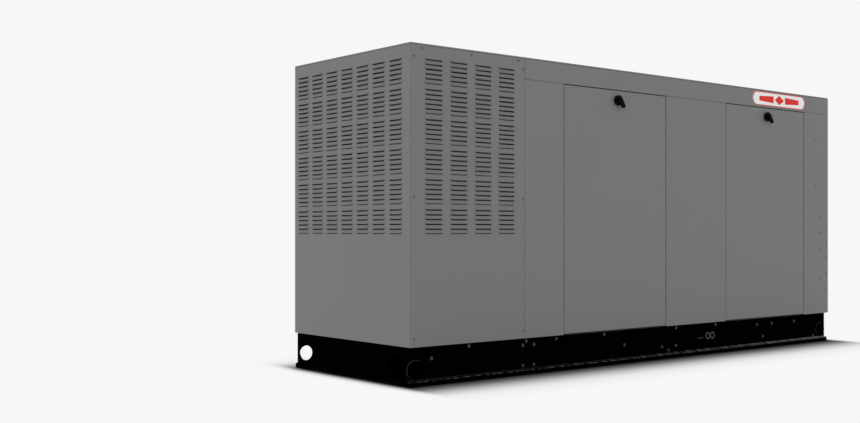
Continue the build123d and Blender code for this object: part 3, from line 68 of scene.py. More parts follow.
# ------------------------------------------------------------------ node material helpers
MATERIALS = {}  # every new material, by its name without Blender's number


def new_material(name):
    material = bpy.data.materials.new(name)
    MATERIALS[name] = material
    material.use_nodes = True
    shader = material.node_tree.nodes["Principled BSDF"]
    return material, material.node_tree, shader


def add(tree, kind, **values):
    """Adds a node and sets its attributes; a key that names an input sets that input."""
    node = tree.nodes.new(kind)
    for key, value in values.items():
        if key in node.inputs:
            node.inputs[key].default_value = value
        else:
            setattr(node, key, value)
    return node


def coordinates(tree, scale=(1.0, 1.0, 1.0)):
    """Object coordinates in metres, with a scale for each axis."""
    source = add(tree, "ShaderNodeTexCoord")
    mapping = add(tree, "ShaderNodeMapping", Scale=scale)
    tree.links.new(source.outputs["Object"], mapping.inputs["Vector"])
    return mapping.outputs["Vector"]


def one_axis(tree, vector, axis):
    """The X, Y or Z part of a vector."""
    split = add(tree, "ShaderNodeSeparateXYZ")
    tree.links.new(vector, split.inputs["Vector"])
    return split.outputs[axis]


def noise(tree, vector, scale, detail=3.0, roughness=0.55):
    node = add(tree, "ShaderNodeTexNoise", Scale=scale, Detail=detail, Roughness=roughness)
    tree.links.new(vector, node.inputs["Vector"])
    return node.outputs["Fac"]


def grey(level):
    return (level, level, level)


def shade(colour, factor):
    return tuple(channel * factor for channel in colour)


def ramp(tree, factor, stops):
    """A colour ramp; stops are (position, colour) pairs."""
    node = add(tree, "ShaderNodeValToRGB")
    elements = node.color_ramp.elements
    while len(elements) < len(stops):
        elements.new(0.5)
    for element, (position, colour) in zip(elements, stops):
        element.position = position
        element.color = (*colour, 1.0)
    tree.links.new(factor, node.inputs["Fac"])
    return node.outputs["Color"]


def drift(tree, factor, colour, vary, low=0.3):
    """A colour that drifts a little to either side; low and 1 - low are the ends of its ramp."""
    return ramp(tree, factor, [(low, shade(colour, 1 - vary)), (1 - low, shade(colour, 1 + vary))])


def remap(tree, value, low, high):
    node = add(tree, "ShaderNodeMapRange")
    node.inputs["To Min"].default_value = low
    node.inputs["To Max"].default_value = high
    tree.links.new(value, node.inputs["Value"])
    return node.outputs["Result"]


def finish(tree, shader, colour, roughness, shine=0.5):
    """Gives the shader its colour and roughness, and sets how much it mirrors."""
    tree.links.new(colour, shader.inputs["Base Color"])
    tree.links.new(roughness, shader.inputs["Roughness"])
    shader.inputs["Specular IOR Level"].default_value = shine


def bump(tree, shader, height, strength, distance):
    node = add(tree, "ShaderNodeBump", Strength=strength, Distance=distance)
    tree.links.new(height, node.inputs["Height"])
    tree.links.new(node.outputs["Normal"], shader.inputs["Normal"])


# ------------------------------------------------------------------ kinds of material
def paint(name, colour, grain, vary=0.05, rough=(0.42, 0.55), strength=0.25, shine=0.5):
    """Powder coat or paint with a fine orange peel and slight cloudiness."""
    material, tree, shader = new_material(name)
    vector = coordinates(tree)
    cloud = noise(tree, vector, 2.3, 4.0)
    speck = noise(tree, vector, 900.0, 2.0)
    mix = add(tree, "ShaderNodeMix", data_type="RGBA", blend_type="MULTIPLY")
    mix.inputs["Factor"].default_value = 1.0
    tree.links.new(drift(tree, cloud, colour, vary), mix.inputs["A"])
    tree.links.new(ramp(tree, speck, [(0.25, grey(0.9)), (0.75, grey(1.06))]), mix.inputs["B"])
    finish(tree, shader, mix.outputs["Result"], remap(tree, cloud, *rough), shine)
    bump(tree, shader, noise(tree, vector, grain, 2.0), strength, 0.0004)
    return material


def cast(name, colour, rough=(0.6, 0.8)):
    """Painted rough casting."""
    return paint(name, colour, 260.0, vary=0.15, rough=rough, strength=0.6)


def metal(name, colour, rough=(0.3, 0.5), grain=(60.0, 60.0, 60.0)):
    """Bare or plated metal with a grain that can be stretched along one axis."""
    material, tree, shader = new_material(name)
    streak = noise(tree, coordinates(tree, grain), 4.0, 5.0, 0.65)
    finish(tree, shader, drift(tree, streak, colour, 0.12, 0.25), remap(tree, streak, *rough))
    shader.inputs["Metallic"].default_value = 1.0
    bump(tree, shader, streak, 0.15, 0.0003)
    return material


def plastic(name, colour, rough=(0.4, 0.55), grain=700.0, vary=0.1, strength=0.2, shine=0.5):
    """Moulded plastic or rubber with a fine grain."""
    material, tree, shader = new_material(name)
    vector = coordinates(tree)
    cloud = noise(tree, vector, 18.0, 3.0)
    finish(tree, shader, drift(tree, cloud, colour, vary), remap(tree, cloud, *rough), shine)
    bump(tree, shader, noise(tree, vector, grain, 2.0), strength, 0.0003)
    return material


def finned(name, colour):
    """Black radiator: fine rows of fins between upright tubes."""
    material, tree, shader = new_material(name)
    vector = coordinates(tree)
    fins = add(tree, "ShaderNodeTexWave", bands_direction="Z", Scale=160.0, Distortion=0.4)
    tubes = add(tree, "ShaderNodeTexWave", bands_direction="Y", Scale=32.0)
    for wave in (fins, tubes):
        tree.links.new(vector, wave.inputs["Vector"])
    mix = add(tree, "ShaderNodeMix", data_type="FLOAT")
    tree.links.new(fins.outputs["Fac"], mix.inputs["A"])
    tree.links.new(tubes.outputs["Fac"], mix.inputs["B"])
    pattern = mix.outputs["Result"]
    rough = remap(tree, noise(tree, vector, 12.0), 0.5, 0.7)
    finish(tree, shader, drift(tree, pattern, colour, 0.6, 0.2), rough)
    bump(tree, shader, pattern, 0.5, 0.001)
    return material


def frame_paint(name):
    """Grey on the posts and header rails, black on the sills and the feet of the posts; the black is painted
    shade for the gaps under the doors.
    """
    material, tree, shader = new_material(name)
    vector = coordinates(tree)
    cloud = noise(tree, vector, 30.0)
    height = add(tree, "ShaderNodeMath", operation="MULTIPLY_ADD")
    height.inputs[1].default_value = 0.02
    tree.links.new(cloud, height.inputs[0])
    tree.links.new(one_axis(tree, vector, "Z"), height.inputs[2])
    # Black below about 0.2 m of Z, with a noisy edge: painted shade seen through the gaps under the doors.
    colour = ramp(tree, height.outputs["Value"], [(0.20, grey(0.006)), (0.24, grey(0.11))])
    finish(tree, shader, colour, remap(tree, cloud, 0.5, 0.65))
    bump(tree, shader, noise(tree, vector, 900.0, 2.0), 0.15, 0.0004)
    return material


def painted_highlight_edge(name, highlight_offset, gain):
    """Black paint with a painted highlight in grey dashes along X; gain is the highlight added for each metre
    of X.
    """
    material, tree, shader = new_material(name)
    along = add(tree, "ShaderNodeMath", operation="MULTIPLY_ADD")
    along.inputs[1].default_value = gain
    along.inputs[2].default_value = highlight_offset
    tree.links.new(one_axis(tree, coordinates(tree), "X"), along.inputs[0])
    dashes = add(tree, "ShaderNodeMath", operation="ADD")
    tree.links.new(noise(tree, coordinates(tree, (1.0, 0.0, 0.0)), 34.0, 2.0), dashes.inputs[0])
    tree.links.new(along.outputs["Value"], dashes.inputs[1])
    highlight = dashes.outputs["Value"]
    colour = ramp(tree, highlight, [(0.50, grey(0.004)), (0.66, grey(0.16))])
    finish(tree, shader, colour, remap(tree, highlight, 0.6, 0.4), 0.1)
    return material


def screen(name):
    """A dim green-grey display behind glass."""
    material, tree, shader = new_material(name)
    rows = noise(tree, coordinates(tree, (1.0, 1.0, 14.0)), 30.0)
    glow = ramp(tree, rows, [(0.35, (0.05, 0.09, 0.06)), (0.65, (0.09, 0.15, 0.10))])
    finish(tree, shader, glow, remap(tree, noise(tree, coordinates(tree), 40.0), 0.08, 0.16))
    return material


# ------------------------------------------------------------------ materials of the CAD nodes
CABINET_GREY = (0.140, 0.144, 0.142)
BASE_BLACK = (0.0006, 0.0007, 0.0007)
paint("cabinet_paint", CABINET_GREY, 1400.0, vary=0.02, rough=(0.5, 0.58), strength=0.12)
paint("cabinet_screws", shade(CABINET_GREY, 0.6), 900.0, vary=0.03, rough=(0.4, 0.5), strength=0.1)
metal("inner_galvanised", (0.45, 0.46, 0.47), rough=(0.35, 0.55), grain=(14.0, 14.0, 14.0))
frame_paint("frame_paint")
paint("base_paint", BASE_BLACK, 800.0, vary=0.2, rough=(0.5, 0.7), strength=0.2, shine=0.0)
metal("base_fasteners", grey(0.07))
metal("port_steel", grey(0.09), rough=(0.35, 0.5))
plastic("badge_face", (0.75, 0.73, 0.74), rough=(0.25, 0.32), grain=60.0, vary=0.02, strength=0.03)
plastic("latch_black", grey(0.0015), rough=(0.3, 0.42), grain=900.0, strength=0.12, shine=0.03)
cast("engine_iron", (0.03, 0.03, 0.032))
metal("engine_cover", grey(0.5), rough=(0.45, 0.65), grain=(90.0, 90.0, 90.0))
cast("oil_pan_black", (0.01, 0.01, 0.011))
plastic("air_cleaner_black", (0.012, 0.012, 0.013))
metal("muffler_steel", (0.42, 0.39, 0.35), rough=(0.4, 0.6), grain=(8.0, 40.0, 8.0))
finned("radiator_black", (0.03, 0.03, 0.031))
plastic("hose_rubber", grey(0.012), rough=(0.6, 0.75), grain=400.0, vary=0.15, strength=0.4)
cast("generator_paint", (0.05, 0.052, 0.055), rough=(0.45, 0.6))
metal("rotor_steel", grey(0.4), grain=(30.0, 4.0, 4.0))
metal("cast_alloy", grey(0.55), rough=(0.45, 0.6), grain=(110.0, 110.0, 110.0))
metal("pulley_steel", grey(0.3), rough=(0.3, 0.45))
plastic("fan_black", grey(0.01))
paint("fuel_yellow", (0.45, 0.26, 0.01), 500.0, vary=0.06, rough=(0.35, 0.5), strength=0.2)
paint("lever_yellow", (0.55, 0.33, 0.01), 500.0, rough=(0.35, 0.45), strength=0.15)
paint("control_grey", (0.34, 0.35, 0.35), 1200.0, vary=0.03, rough=(0.45, 0.55), strength=0.15)
plastic("controller_black", (0.014, 0.014, 0.016))
plastic("breaker_black", grey(0.01))
plastic("stop_red", (0.5, 0.01, 0.008), rough=(0.25, 0.35), grain=500.0, vary=0.05, strength=0.05)
metal("cap_steel", grey(0.5), rough=(0.3, 0.45))
plastic("dipstick_yellow", (0.6, 0.36, 0.01), rough=(0.3, 0.4))

for entry in frame["record"]["subparts"]:
    mesh = nodes[entry["node"]].data
    mesh.materials.clear()
    mesh.materials.append(MATERIALS[entry["material_slot"]])


# ------------------------------------------------------------------ extra materials
FOAM = plastic(
    "acoustic_foam", (0.010, 0.010, 0.011), rough=(0.85, 0.95), grain=160.0, vary=0.3, strength=1.0,
)
PLENUM_FOAM = plastic("plenum_foam", grey(0.09), rough=(0.85, 0.95), grain=160.0, vary=0.2, strength=1.0)
RUBBER = MATERIALS["hose_rubber"]
# Near-black painted shade for the screws' cross recesses.
RECESS_SHADE = plastic("recess_painted_shade", grey(0.003), rough=(0.6, 0.7))
RED_TRIM = plastic(
    "badge_red", (0.62, 0.022, 0.012), rough=(0.4, 0.5), grain=300.0, vary=0.03, strength=0.03, shine=0.15,
)
RED_CABLE = plastic("cable_red", (0.35, 0.01, 0.008), rough=(0.4, 0.5))
STEEL = metal("clamp_steel", grey(0.5), rough=(0.3, 0.45))
FILTER = paint("filter_paint", grey(0.5), 500.0, vary=0.04, rough=(0.35, 0.45), strength=0.1)
PLATE = metal("data_plate", grey(0.6), rough=(0.35, 0.5), grain=(90.0, 4.0, 4.0))
LEGEND = plastic("legend_white", grey(0.55), rough=(0.5, 0.6))
LAMP = plastic("lamp_amber", (0.62, 0.42, 0.02), rough=(0.45, 0.55), grain=500.0, vary=0.04, strength=0.05)
WELD = paint("weld_black", grey(0.030), 260.0, vary=0.3, rough=(0.45, 0.65), strength=1.0, shine=0.2)
SCREEN = screen("display")
# Painted highlights: grey dashes along the runners' tops and outer corners, stronger towards +X, in place of
# the light they catch.
RUNNER_EDGE_HIGHLIGHT = painted_highlight_edge("painted_highlight_edge", 0.08, 0.04)
LEDGE_HIGHLIGHT = painted_highlight_edge("painted_highlight_ledge", -0.04, 0.15)


# ------------------------------------------------------------------ edges of the CAD nodes
def round_edges(shape, width):
    """Bevels the edges where a shape turns by more than 40 degrees."""
    modifier = shape.modifiers.new("edge", "BEVEL")
    modifier.width = width
    modifier.segments = 2
    modifier.limit_method = "ANGLE"
    modifier.angle_limit = math.radians(40.0)


EDGE_WIDTHS = (
    ("base_rails", 0.0010), ("base_cross_members", 0.0010), ("radiator_bulkhead", 0.0005),
    ("fixed_side_panels", 0.0006), ("door_front_left", 0.0006), ("door_front_right", 0.0006),
    ("door_rear_left", 0.0006), ("door_rear_right", 0.0006), ("cabinet_frame", 0.0015),
    ("engine_block", 0.0020), ("cylinder_heads", 0.0020), ("flywheel_housing", 0.0020),
    ("generator_stator", 0.0015), ("intake_manifold", 0.0020), ("radiator", 0.0015),
    ("control_box", 0.0005), ("main_breaker", 0.0006), ("badge", 0.0003), ("fuel_train", 0.0006),
    ("crank_pulley", 0.0005), ("charging_pulley", 0.0005), ("cooling_fan", 0.0006),
)
for node_name, edge_width in EDGE_WIDTHS:
    round_edges(nodes[node_name], edge_width)


# ------------------------------------------------------------------ mesh helpers
def add_box(mesh, low, high, turn=None):
    """A box between two corners, turned by a matrix if one is given."""
    low, high = Vector(low), Vector(high)
    size = [max(high[axis] - low[axis], 1e-6) for axis in range(3)]
    place = Matrix.Translation((low + high) / 2) @ Matrix.Diagonal((*size, 1.0))
    bmesh.ops.create_cube(mesh, size=1.0, matrix=turn @ place if turn else place)


def add_side_box(mesh, side, x_span, depths, z_span):
    """A box on the rear side (+1) or the front side (-1); depths are its faces' distances from the middle."""
    y0, y1 = sorted(side * depth for depth in depths)
    add_box(mesh, (x_span[0], y0, z_span[0]), (x_span[1], y1, z_span[1]))


def add_rod(mesh, radius, start, end, segments=40, end_radius=None):
    """A round rod or cone between two points."""
    start, end = Vector(start), Vector(end)
    run = end - start
    place = Matrix.Translation((start + end) / 2) @ run.to_track_quat("Z", "Y").to_matrix().to_4x4()
    bmesh.ops.create_cone(
        mesh, cap_ends=True, segments=segments, radius1=radius,
        radius2=radius if end_radius is None else end_radius, depth=run.length, matrix=place,
    )


def add_ring(mesh, radius, thick, centre, axis, segments=64, sides=10):
    """A torus round an axis."""
    turn = Matrix.Translation(centre) @ Vector(axis).to_track_quat("Z", "Y").to_matrix().to_4x4()
    rows = []
    for step in range(segments):
        angle = 2 * math.pi * step / segments
        row = []
        for side in range(sides):
            around = 2 * math.pi * side / sides
            reach = radius + thick * math.cos(around)
            point = (reach * math.cos(angle), reach * math.sin(angle), thick * math.sin(around))
            row.append(mesh.verts.new(turn @ Vector(point)))
        rows.append(row)
    for step in range(segments):
        here, there = rows[step], rows[(step + 1) % segments]
        for side in range(sides):
            after = (side + 1) % sides
            mesh.faces.new((here[side], there[side], there[after], here[after]))


def add_outline(mesh, outer, y0, y1, inner=None):
    """A plate of an outline in the XZ plane, from y0 to y1; with an inner outline it is a frame."""
    loops = [outer] if inner is None else [outer, inner]
    rings = [[[mesh.verts.new((x, y, z)) for x, z in loop] for y in (y0, y1)] for loop in loops]
    count = len(outer)
    for ring in rings:
        for step in range(count):
            after = (step + 1) % count
            mesh.faces.new((ring[0][step], ring[0][after], ring[1][after], ring[1][step]))
    for level in range(2):
        if inner is None:
            mesh.faces.new(rings[0][level])
            continue
        outside, inside = rings[0][level], rings[1][level]
        for step in range(count):
            after = (step + 1) % count
            mesh.faces.new((outside[step], outside[after], inside[after], inside[step]))


def new_object(name, data):
    made = bpy.data.objects.new(name, data)
    bpy.context.scene.collection.objects.link(made)
    return made


def piece(name, body, material, draw, bevel=0.0, smooth=True):
    """A new piece on a body; draw fills its mesh in row coordinates."""
    mesh = bmesh.new()
    draw(mesh)
    bmesh.ops.recalc_face_normals(mesh, faces=mesh.faces)
    data = bpy.data.meshes.new(name)
    mesh.to_mesh(data)
    mesh.free()
    made = new_object(name, data)
    data.materials.append(material)
    if smooth:
        data.shade_smooth()
        data.set_sharp_from_angle(angle=math.radians(35.0))
    if bevel:
        round_edges(made, bevel)
    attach(made, body)


def cable(name, body, material, points, radius):
    """A smooth round cable through points, as a mesh."""
    curve = bpy.data.curves.new(name, "CURVE")
    curve.dimensions = "3D"
    curve.bevel_depth = radius
    curve.bevel_resolution = 4
    curve.use_fill_caps = True
    spline = curve.splines.new("NURBS")
    spline.points.add(len(points) - 1)
    for control, place in zip(spline.points, points):
        control.co = (*place, 1.0)
    spline.order_u = 3
    spline.use_endpoint_u = True
    spline.resolution_u = 10
    line = new_object(f"{name}_line", curve)
    bpy.context.view_layer.update()
    data = bpy.data.meshes.new_from_object(line)
    data.name = name
    bpy.data.objects.remove(line)
    made = new_object(name, data)
    data.materials.clear()
    data.materials.append(material)
    data.shade_smooth()
    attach(made, body)


# ------------------------------------------------------------------ sound lining and gaskets
def plenum_baffles(mesh):
    """Foam boards a little inside the louvred sheets, with a gap round the exhaust's end."""
    low, high = PAN_TOP + 0.002, 1.258
    for side in (-1, 1):
        add_side_box(mesh, side, (at(0.075), at(0.585)), (0.345, 0.365), (low, high))
    x0, x1 = at(0.028), at(0.046)
    reach, gap = 0.340, 0.060
    gap_low, gap_high = 0.900, 1.020
    for y0, y1, z0, z1 in (
        (-reach, reach, low, gap_low), (-reach, reach, gap_high, high),
        (-reach, -gap, gap_low, gap_high), (gap, reach, gap_low, gap_high),
    ):
        add_box(mesh, (x0, y0, z0), (x1, y1, z1))


def roof_lining(mesh):
    """A board under the lid, clear of its rim."""
    half_length, half_width = LENGTH / 2 - 0.020, WIDTH / 2 - 0.020
    add_box(mesh, (-half_length, -half_width, HEIGHT - 0.0265), (half_length, half_width, HEIGHT - 0.0025))


def door_lining(side, end):
    """Three pads between the door's ribs, below its latch."""
    inset = 0.014
    x_span = (DOOR_X[end] + inset, DOOR_X[end] + DOOR_WIDTH - inset)

    def draw(mesh):
        for z_span in ((0.185, 0.406), (0.467, 0.918), (0.978, 1.145)):
            add_side_box(mesh, side, x_span, (WIDTH / 2 - 0.0025, WIDTH / 2 - 0.0170), z_span)

    return draw


def gaskets(mesh):
    """Rubber strips on the posts and header rail round each doorway."""
    depths = (WIDTH / 2 - 0.0244, WIDTH / 2 - 0.0270)
    inset, strip = 0.0005, 0.007
    post_low, post_high, header_low = 0.163, 1.262, 1.2625
    for side in (-1, 1):
        for start in DOOR_X.values():
            left, right = start + inset, start + DOOR_WIDTH - inset
            for x in (left, right - strip):
                add_side_box(mesh, side, (x, x + strip), depths, (post_low, post_high))
            add_side_box(mesh, side, (left, right), depths, (header_low, header_low + strip))


piece("plenum_baffles", "cabinet", PLENUM_FOAM, plenum_baffles, bevel=0.003)
piece("roof_lining", "cabinet", FOAM, roof_lining, bevel=0.003)
piece("door_gaskets", "cabinet", RUBBER, gaskets, bevel=0.0008)
for side_name, side in (("front", -1), ("rear", 1)):
    for end in ("left", "right"):
        piece(f"lining_{side_name}_{end}", f"door_{side_name}_{end}", FOAM,
              door_lining(side, end), bevel=0.003)


# ------------------------------------------------------------------ badge and fasteners
BADGE_X, BADGE_Z = at(2.386), HEIGHT - 0.048
BADGE_RECESS = FRONT - 0.0012
BADGE_RIM = FRONT - 0.0017


def pill(centre_x, centre_z, length, height, steps=18):
    """Outline of a pill shape."""
    radius, straight = height / 2, (length - height) / 2
    points = []
    for sign in (1, -1):
        for step in range(steps + 1):
            angle = math.pi * step / steps - math.pi / 2
            points.append((
                centre_x + sign * (straight + radius * math.cos(angle)),
                centre_z + sign * radius * math.sin(angle),
            ))
    return points


def badge_border(mesh):
    """A thin raised line on the plate's rim."""
    length, height, line = 0.4555, 0.0715, 0.00375
    outer = pill(BADGE_X, BADGE_Z, length, height)
    inner = pill(BADGE_X, BADGE_Z, length - 2 * line, height - 2 * line)
    add_outline(mesh, outer, BADGE_RIM, BADGE_RIM - 0.0006, inner)


def badge_emblem(mesh):
    """A plain device: a diamond between two tapering bars."""
    face, back = BADGE_RECESS - 0.0005, BADGE_RECESS + 0.0002
    inner_end, outer_end = 0.050, 0.172
    inner_half, outer_half = 0.018, 0.012
    bar = [
        (inner_end, inner_half), (outer_end, outer_half),
        (outer_end, -outer_half), (inner_end, -inner_half),
    ]
    for sign in (-1, 1):
        add_outline(mesh, [(BADGE_X + sign * x, BADGE_Z + z) for x, z in bar], back, face)
    half_length, half_height = 0.040, 0.025
    diamond = [(0.0, half_height), (half_length, 0.0), (0.0, -half_height), (-half_length, 0.0)]
    add_outline(mesh, [(BADGE_X + x, BADGE_Z + z) for x, z in diamond], back, face)


SCREWS = [(station, HEIGHT - 0.019) for station in (0.055, 0.304, 0.556)]
SCREWS += [(station, HEIGHT - drop) for station in (0.018, 0.582) for drop in (0.053, 0.603, 1.161)]


def screw_recesses(mesh):
    """Dark crosses on the pan-head screws, as painted shade for their cross recesses."""
    depths = (WIDTH / 2 + 0.0014, WIDTH / 2 + 0.00205)
    reach, thin = 0.0028, 0.0006
    for station, z in SCREWS:
        x = at(station)
        for side in (-1, 1):
            for wide, tall in ((reach, thin), (thin, reach)):
                add_side_box(mesh, side, (x - wide, x + wide), depths, (z - tall, z + tall))


piece("badge_border", "cabinet", RED_TRIM, badge_border)
piece("badge_emblem", "cabinet", RED_TRIM, badge_emblem)
piece("screw_recesses", "cabinet", RECESS_SHADE, screw_recesses, smooth=False)


# ------------------------------------------------------------------ welds and painted highlights on the edges of the base
def base_welds(mesh):
    """Fillet beads round the lifting collars."""
    for side in (-1, 1):
        for x in (-LIFT_X, LIFT_X):
            add_ring(mesh, LIFT_COLLAR, 0.0016, (x, side * RAIL_FACE, LIFT_Z), (0, 1, 0))


def ledge_beads(mesh):
    """Weld beads along the joint of each rail and its runner, and a thin strip on each runner's top, all in a
    painted highlight.
    """
    bead_end, top_end = LENGTH / 2 - 0.0020, LENGTH / 2 - 0.0005
    bead_z = RUNNER_TOP + 0.0005
    for side in (-1, 1):
        y = side * RAIL_FACE
        add_rod(mesh, 0.0030, (-bead_end, y, bead_z), (bead_end, y, bead_z), 12)
        add_side_box(mesh, side, (-top_end, top_end), (RUNNER_FACE - 0.0050, RAIL_FACE),
                     (RUNNER_TOP - 0.0001, RUNNER_TOP + 0.0004))


def runner_edges(mesh):
    """A rod along the outer corner of each runner, in a painted highlight."""
    end, z = LENGTH / 2 - 0.0005, RUNNER_TOP - 0.0035
    for side in (-1, 1):
        y = side * (RUNNER_FACE - 0.0005)
        add_rod(mesh, 0.0014, (-end, y, z), (end, y, z), 10)


def slot_lips(mesh):
    """Turned lips above and below the thin slot beside the pipe ports."""
    y = -RAIL_FACE - 0.0008
    for z in (0.0772, 0.0838):
        add_rod(mesh, 0.0009, (at(1.753), y, z), (at(1.797), y, z), 10)


piece("base_welds", "cabinet", WELD, base_welds)
piece("ledge_beads", "cabinet", LEDGE_HIGHLIGHT, ledge_beads)
piece("runner_edges", "cabinet", RUNNER_EDGE_HIGHLIGHT, runner_edges)
piece("slot_lips", "cabinet", MATERIALS["port_steel"], slot_lips)


# ------------------------------------------------------------------ engine dressing
STARTER = (0.190, -0.080)     # y and z of the starter's axis from the crankshaft's
SOLENOID = (0.212, -0.020)


def engine_point(x, y, z):
    """A point from the engine's own axes."""
    return (ENGINE_X + x, y, CRANK_Z + z)


def bank_turn(side):
    """Engine axes turned to a cylinder bank: side +1 is the rear bank and -1 the front bank."""
    return Matrix.Translation((ENGINE_X, 0, CRANK_Z)) @ Matrix.Rotation(-side * BANK, 4, "X")


def ignition_coils(mesh):
    """A coil over each plug, with a round boss on top."""
    first, pitch = 0.075, 0.118
    length, half_width = 0.052, 0.020
    foot, top = 0.3945, 0.4180
    for side in (-1, 1):
        turn = bank_turn(side)
        for number in range(4):
            x = first + pitch * number
            middle = x + length / 2
            add_box(mesh, (x, -half_width, foot), (x + length, half_width, top), turn)
            add_rod(mesh, 0.009, turn @ Vector((middle, 0.0, top - 0.001)),
                    turn @ Vector((middle, 0.0, top + 0.009)), 20)


def cover_bolts(mesh):
    """Six hexagon heads on each valve cover."""
    for side in (-1, 1):
        turn = bank_turn(side)
        for x in (0.052, 0.285, 0.518):
            for y in (-0.044, 0.044):
                add_rod(mesh, 0.006, turn @ Vector((x, y, 0.390)), turn @ Vector((x, y, 0.4005)), 6)


def oil_filter(mesh):
    """A spin-on can with a wider ring at its mouth."""
    x, y, z = 0.250, -0.130, -0.050
    for radius, length in ((0.036, 0.095), (0.039, 0.008)):
        add_rod(mesh, radius, engine_point(x, y, z), engine_point(x, y - length, z))


def starter_motor(mesh):
    """The motor and its nose, the solenoid above, and the foot on the block."""
    flange = 0.535
    for radius, start, end, (y, z) in (
        (0.040, 0.370, flange, STARTER), (0.030, flange, 0.560, STARTER), (0.021, 0.430, flange, SOLENOID),
    ):
        add_rod(mesh, radius, engine_point(start, y, z), engine_point(end, y, z))
    add_box(mesh, engine_point(0.480, 0.125, -0.100), engine_point(0.530, 0.165, -0.060))


def hose_clamps(mesh):
    """Worm-drive bands where the coolant hoses meet the radiator and the engine."""
    x = RADIATOR_BACK + 0.016
    for place in ((x, -0.060, 1.060), (x, 0.175, 0.245), engine_point(0.040, -0.060, 0.275)):
        add_ring(mesh, 0.0178, 0.0022, place, (1, 0, 0), 40, 8)


piece("ignition_coils", "cabinet", MATERIALS["air_cleaner_black"], ignition_coils,
      bevel=0.002)
piece("cover_bolts", "cabinet", STEEL, cover_bolts, bevel=0.0006)
piece("oil_filter", "cabinet", FILTER, oil_filter, bevel=0.003)
piece("starter_motor", "cabinet", MATERIALS["engine_iron"], starter_motor, bevel=0.002)
piece("hose_clamps", "cabinet", STEEL, hose_clamps)


# ------------------------------------------------------------------ control box dressing
BOX_X, BOX_Y, BOX_Z = at(2.150), FRONT + 0.150, 0.600
BOX_LENGTH, BOX_TOP = 0.400, 1.120
CASE_X, CASE_Z = BOX_X + 0.070, BOX_TOP - 0.190
SELECTOR = Vector((BOX_X + 0.300, BOX_Y - 0.0006, BOX_Z + 0.250))
SELECTOR_TURN = math.radians(45.0)


def display(mesh):
    """The controller's screen, in its window."""
    add_box(mesh, (CASE_X + 0.0255, BOX_Y - 0.0116, CASE_Z + 0.0605),
            (CASE_X + 0.1495, BOX_Y - 0.0109, CASE_Z + 0.1245))


def legends(mesh):
    """A line under each of the controller's keys, and plain tick marks round the selector."""
    pitch, half_length = 0.035, 0.007
    for number in range(4):
        x = CASE_X + pitch * (1 + number)
        add_box(mesh, (x - half_length, BOX_Y - 0.0144, CASE_Z + 0.0140),
                (x + half_length, BOX_Y - 0.0138, CASE_Z + 0.0165))
    for angle in (-SELECTOR_TURN, 0.0, SELECTOR_TURN):
        reach = Vector((math.sin(angle), 0.0, math.cos(angle)))
        add_rod(mesh, 0.0012, SELECTOR + reach * 0.025, SELECTOR + reach * 0.034, 8)


def status_lamps(mesh):
    """Three lamps in a column beside the screen."""
    x = CASE_X + 0.180
    for number in range(3):
        z = CASE_Z + 0.070 + 0.022 * number
        add_rod(mesh, 0.005, (x, BOX_Y - 0.0136, z), (x, BOX_Y - 0.0160, z), 20)


def box_screws(mesh):
    """Six domed heads near the box's edges."""
    inset = 0.014
    for x in (BOX_X + inset, BOX_X + BOX_LENGTH - inset):
        for z in (BOX_Z + inset, BOX_Z + 0.260, BOX_TOP - inset):
            add_rod(mesh, 0.0045, (x, BOX_Y, z), (x, BOX_Y - 0.0022, z), 20, end_radius=0.0035)


def data_plates(mesh):
    """Blank rating plates on the control box and on the generator's terminal box."""
    thick = 0.0008
    add_box(mesh, (BOX_X + 0.235, BOX_Y - thick, BOX_Z + 0.030), (BOX_X + 0.365, BOX_Y, BOX_Z + 0.085))
    terminal_y = -0.110
    add_box(mesh, (STATOR_X + 0.215, terminal_y - thick, CRANK_Z + 0.240),
            (STATOR_X + 0.335, terminal_y, CRANK_Z + 0.295))


piece("display", "cabinet", SCREEN, display)
piece("legends", "cabinet", LEGEND, legends)
piece("status_lamps", "cabinet", LAMP, status_lamps)
piece("box_screws", "cabinet", STEEL, box_screws)
piece("data_plates", "cabinet", PLATE, data_plates)


# ------------------------------------------------------------------ cables
cable("loom_generator", "cabinet", RUBBER, [
    (BOX_X + 0.020, BOX_Y + 0.140, 0.640), (BOX_X - 0.020, BOX_Y + 0.140, 0.640),
    (BOX_X - 0.060, BOX_Y + 0.140, 0.700), (STATOR_X + 0.500, -0.110, 0.790),
    (STATOR_X + 0.440, -0.060, 0.790), (STATOR_X + 0.400, -0.040, 0.790),
], radius=0.016)
cable("loom_engine", "cabinet", RUBBER, [
    (BOX_X + 0.020, BOX_Y + 0.080, 0.900), (BOX_X - 0.020, BOX_Y + 0.080, 0.900),
    (BOX_X - 0.060, -0.250, 0.930), (STATOR_X + 0.300, -0.230, 0.940), (STATOR_X - 0.060, -0.200, 0.945),
    (ENGINE_X + 0.560, -0.170, 0.930), (ENGINE_X + 0.500, -0.130, 0.880),
    (ENGINE_X + 0.440, -0.105, 0.845),
], radius=0.010)

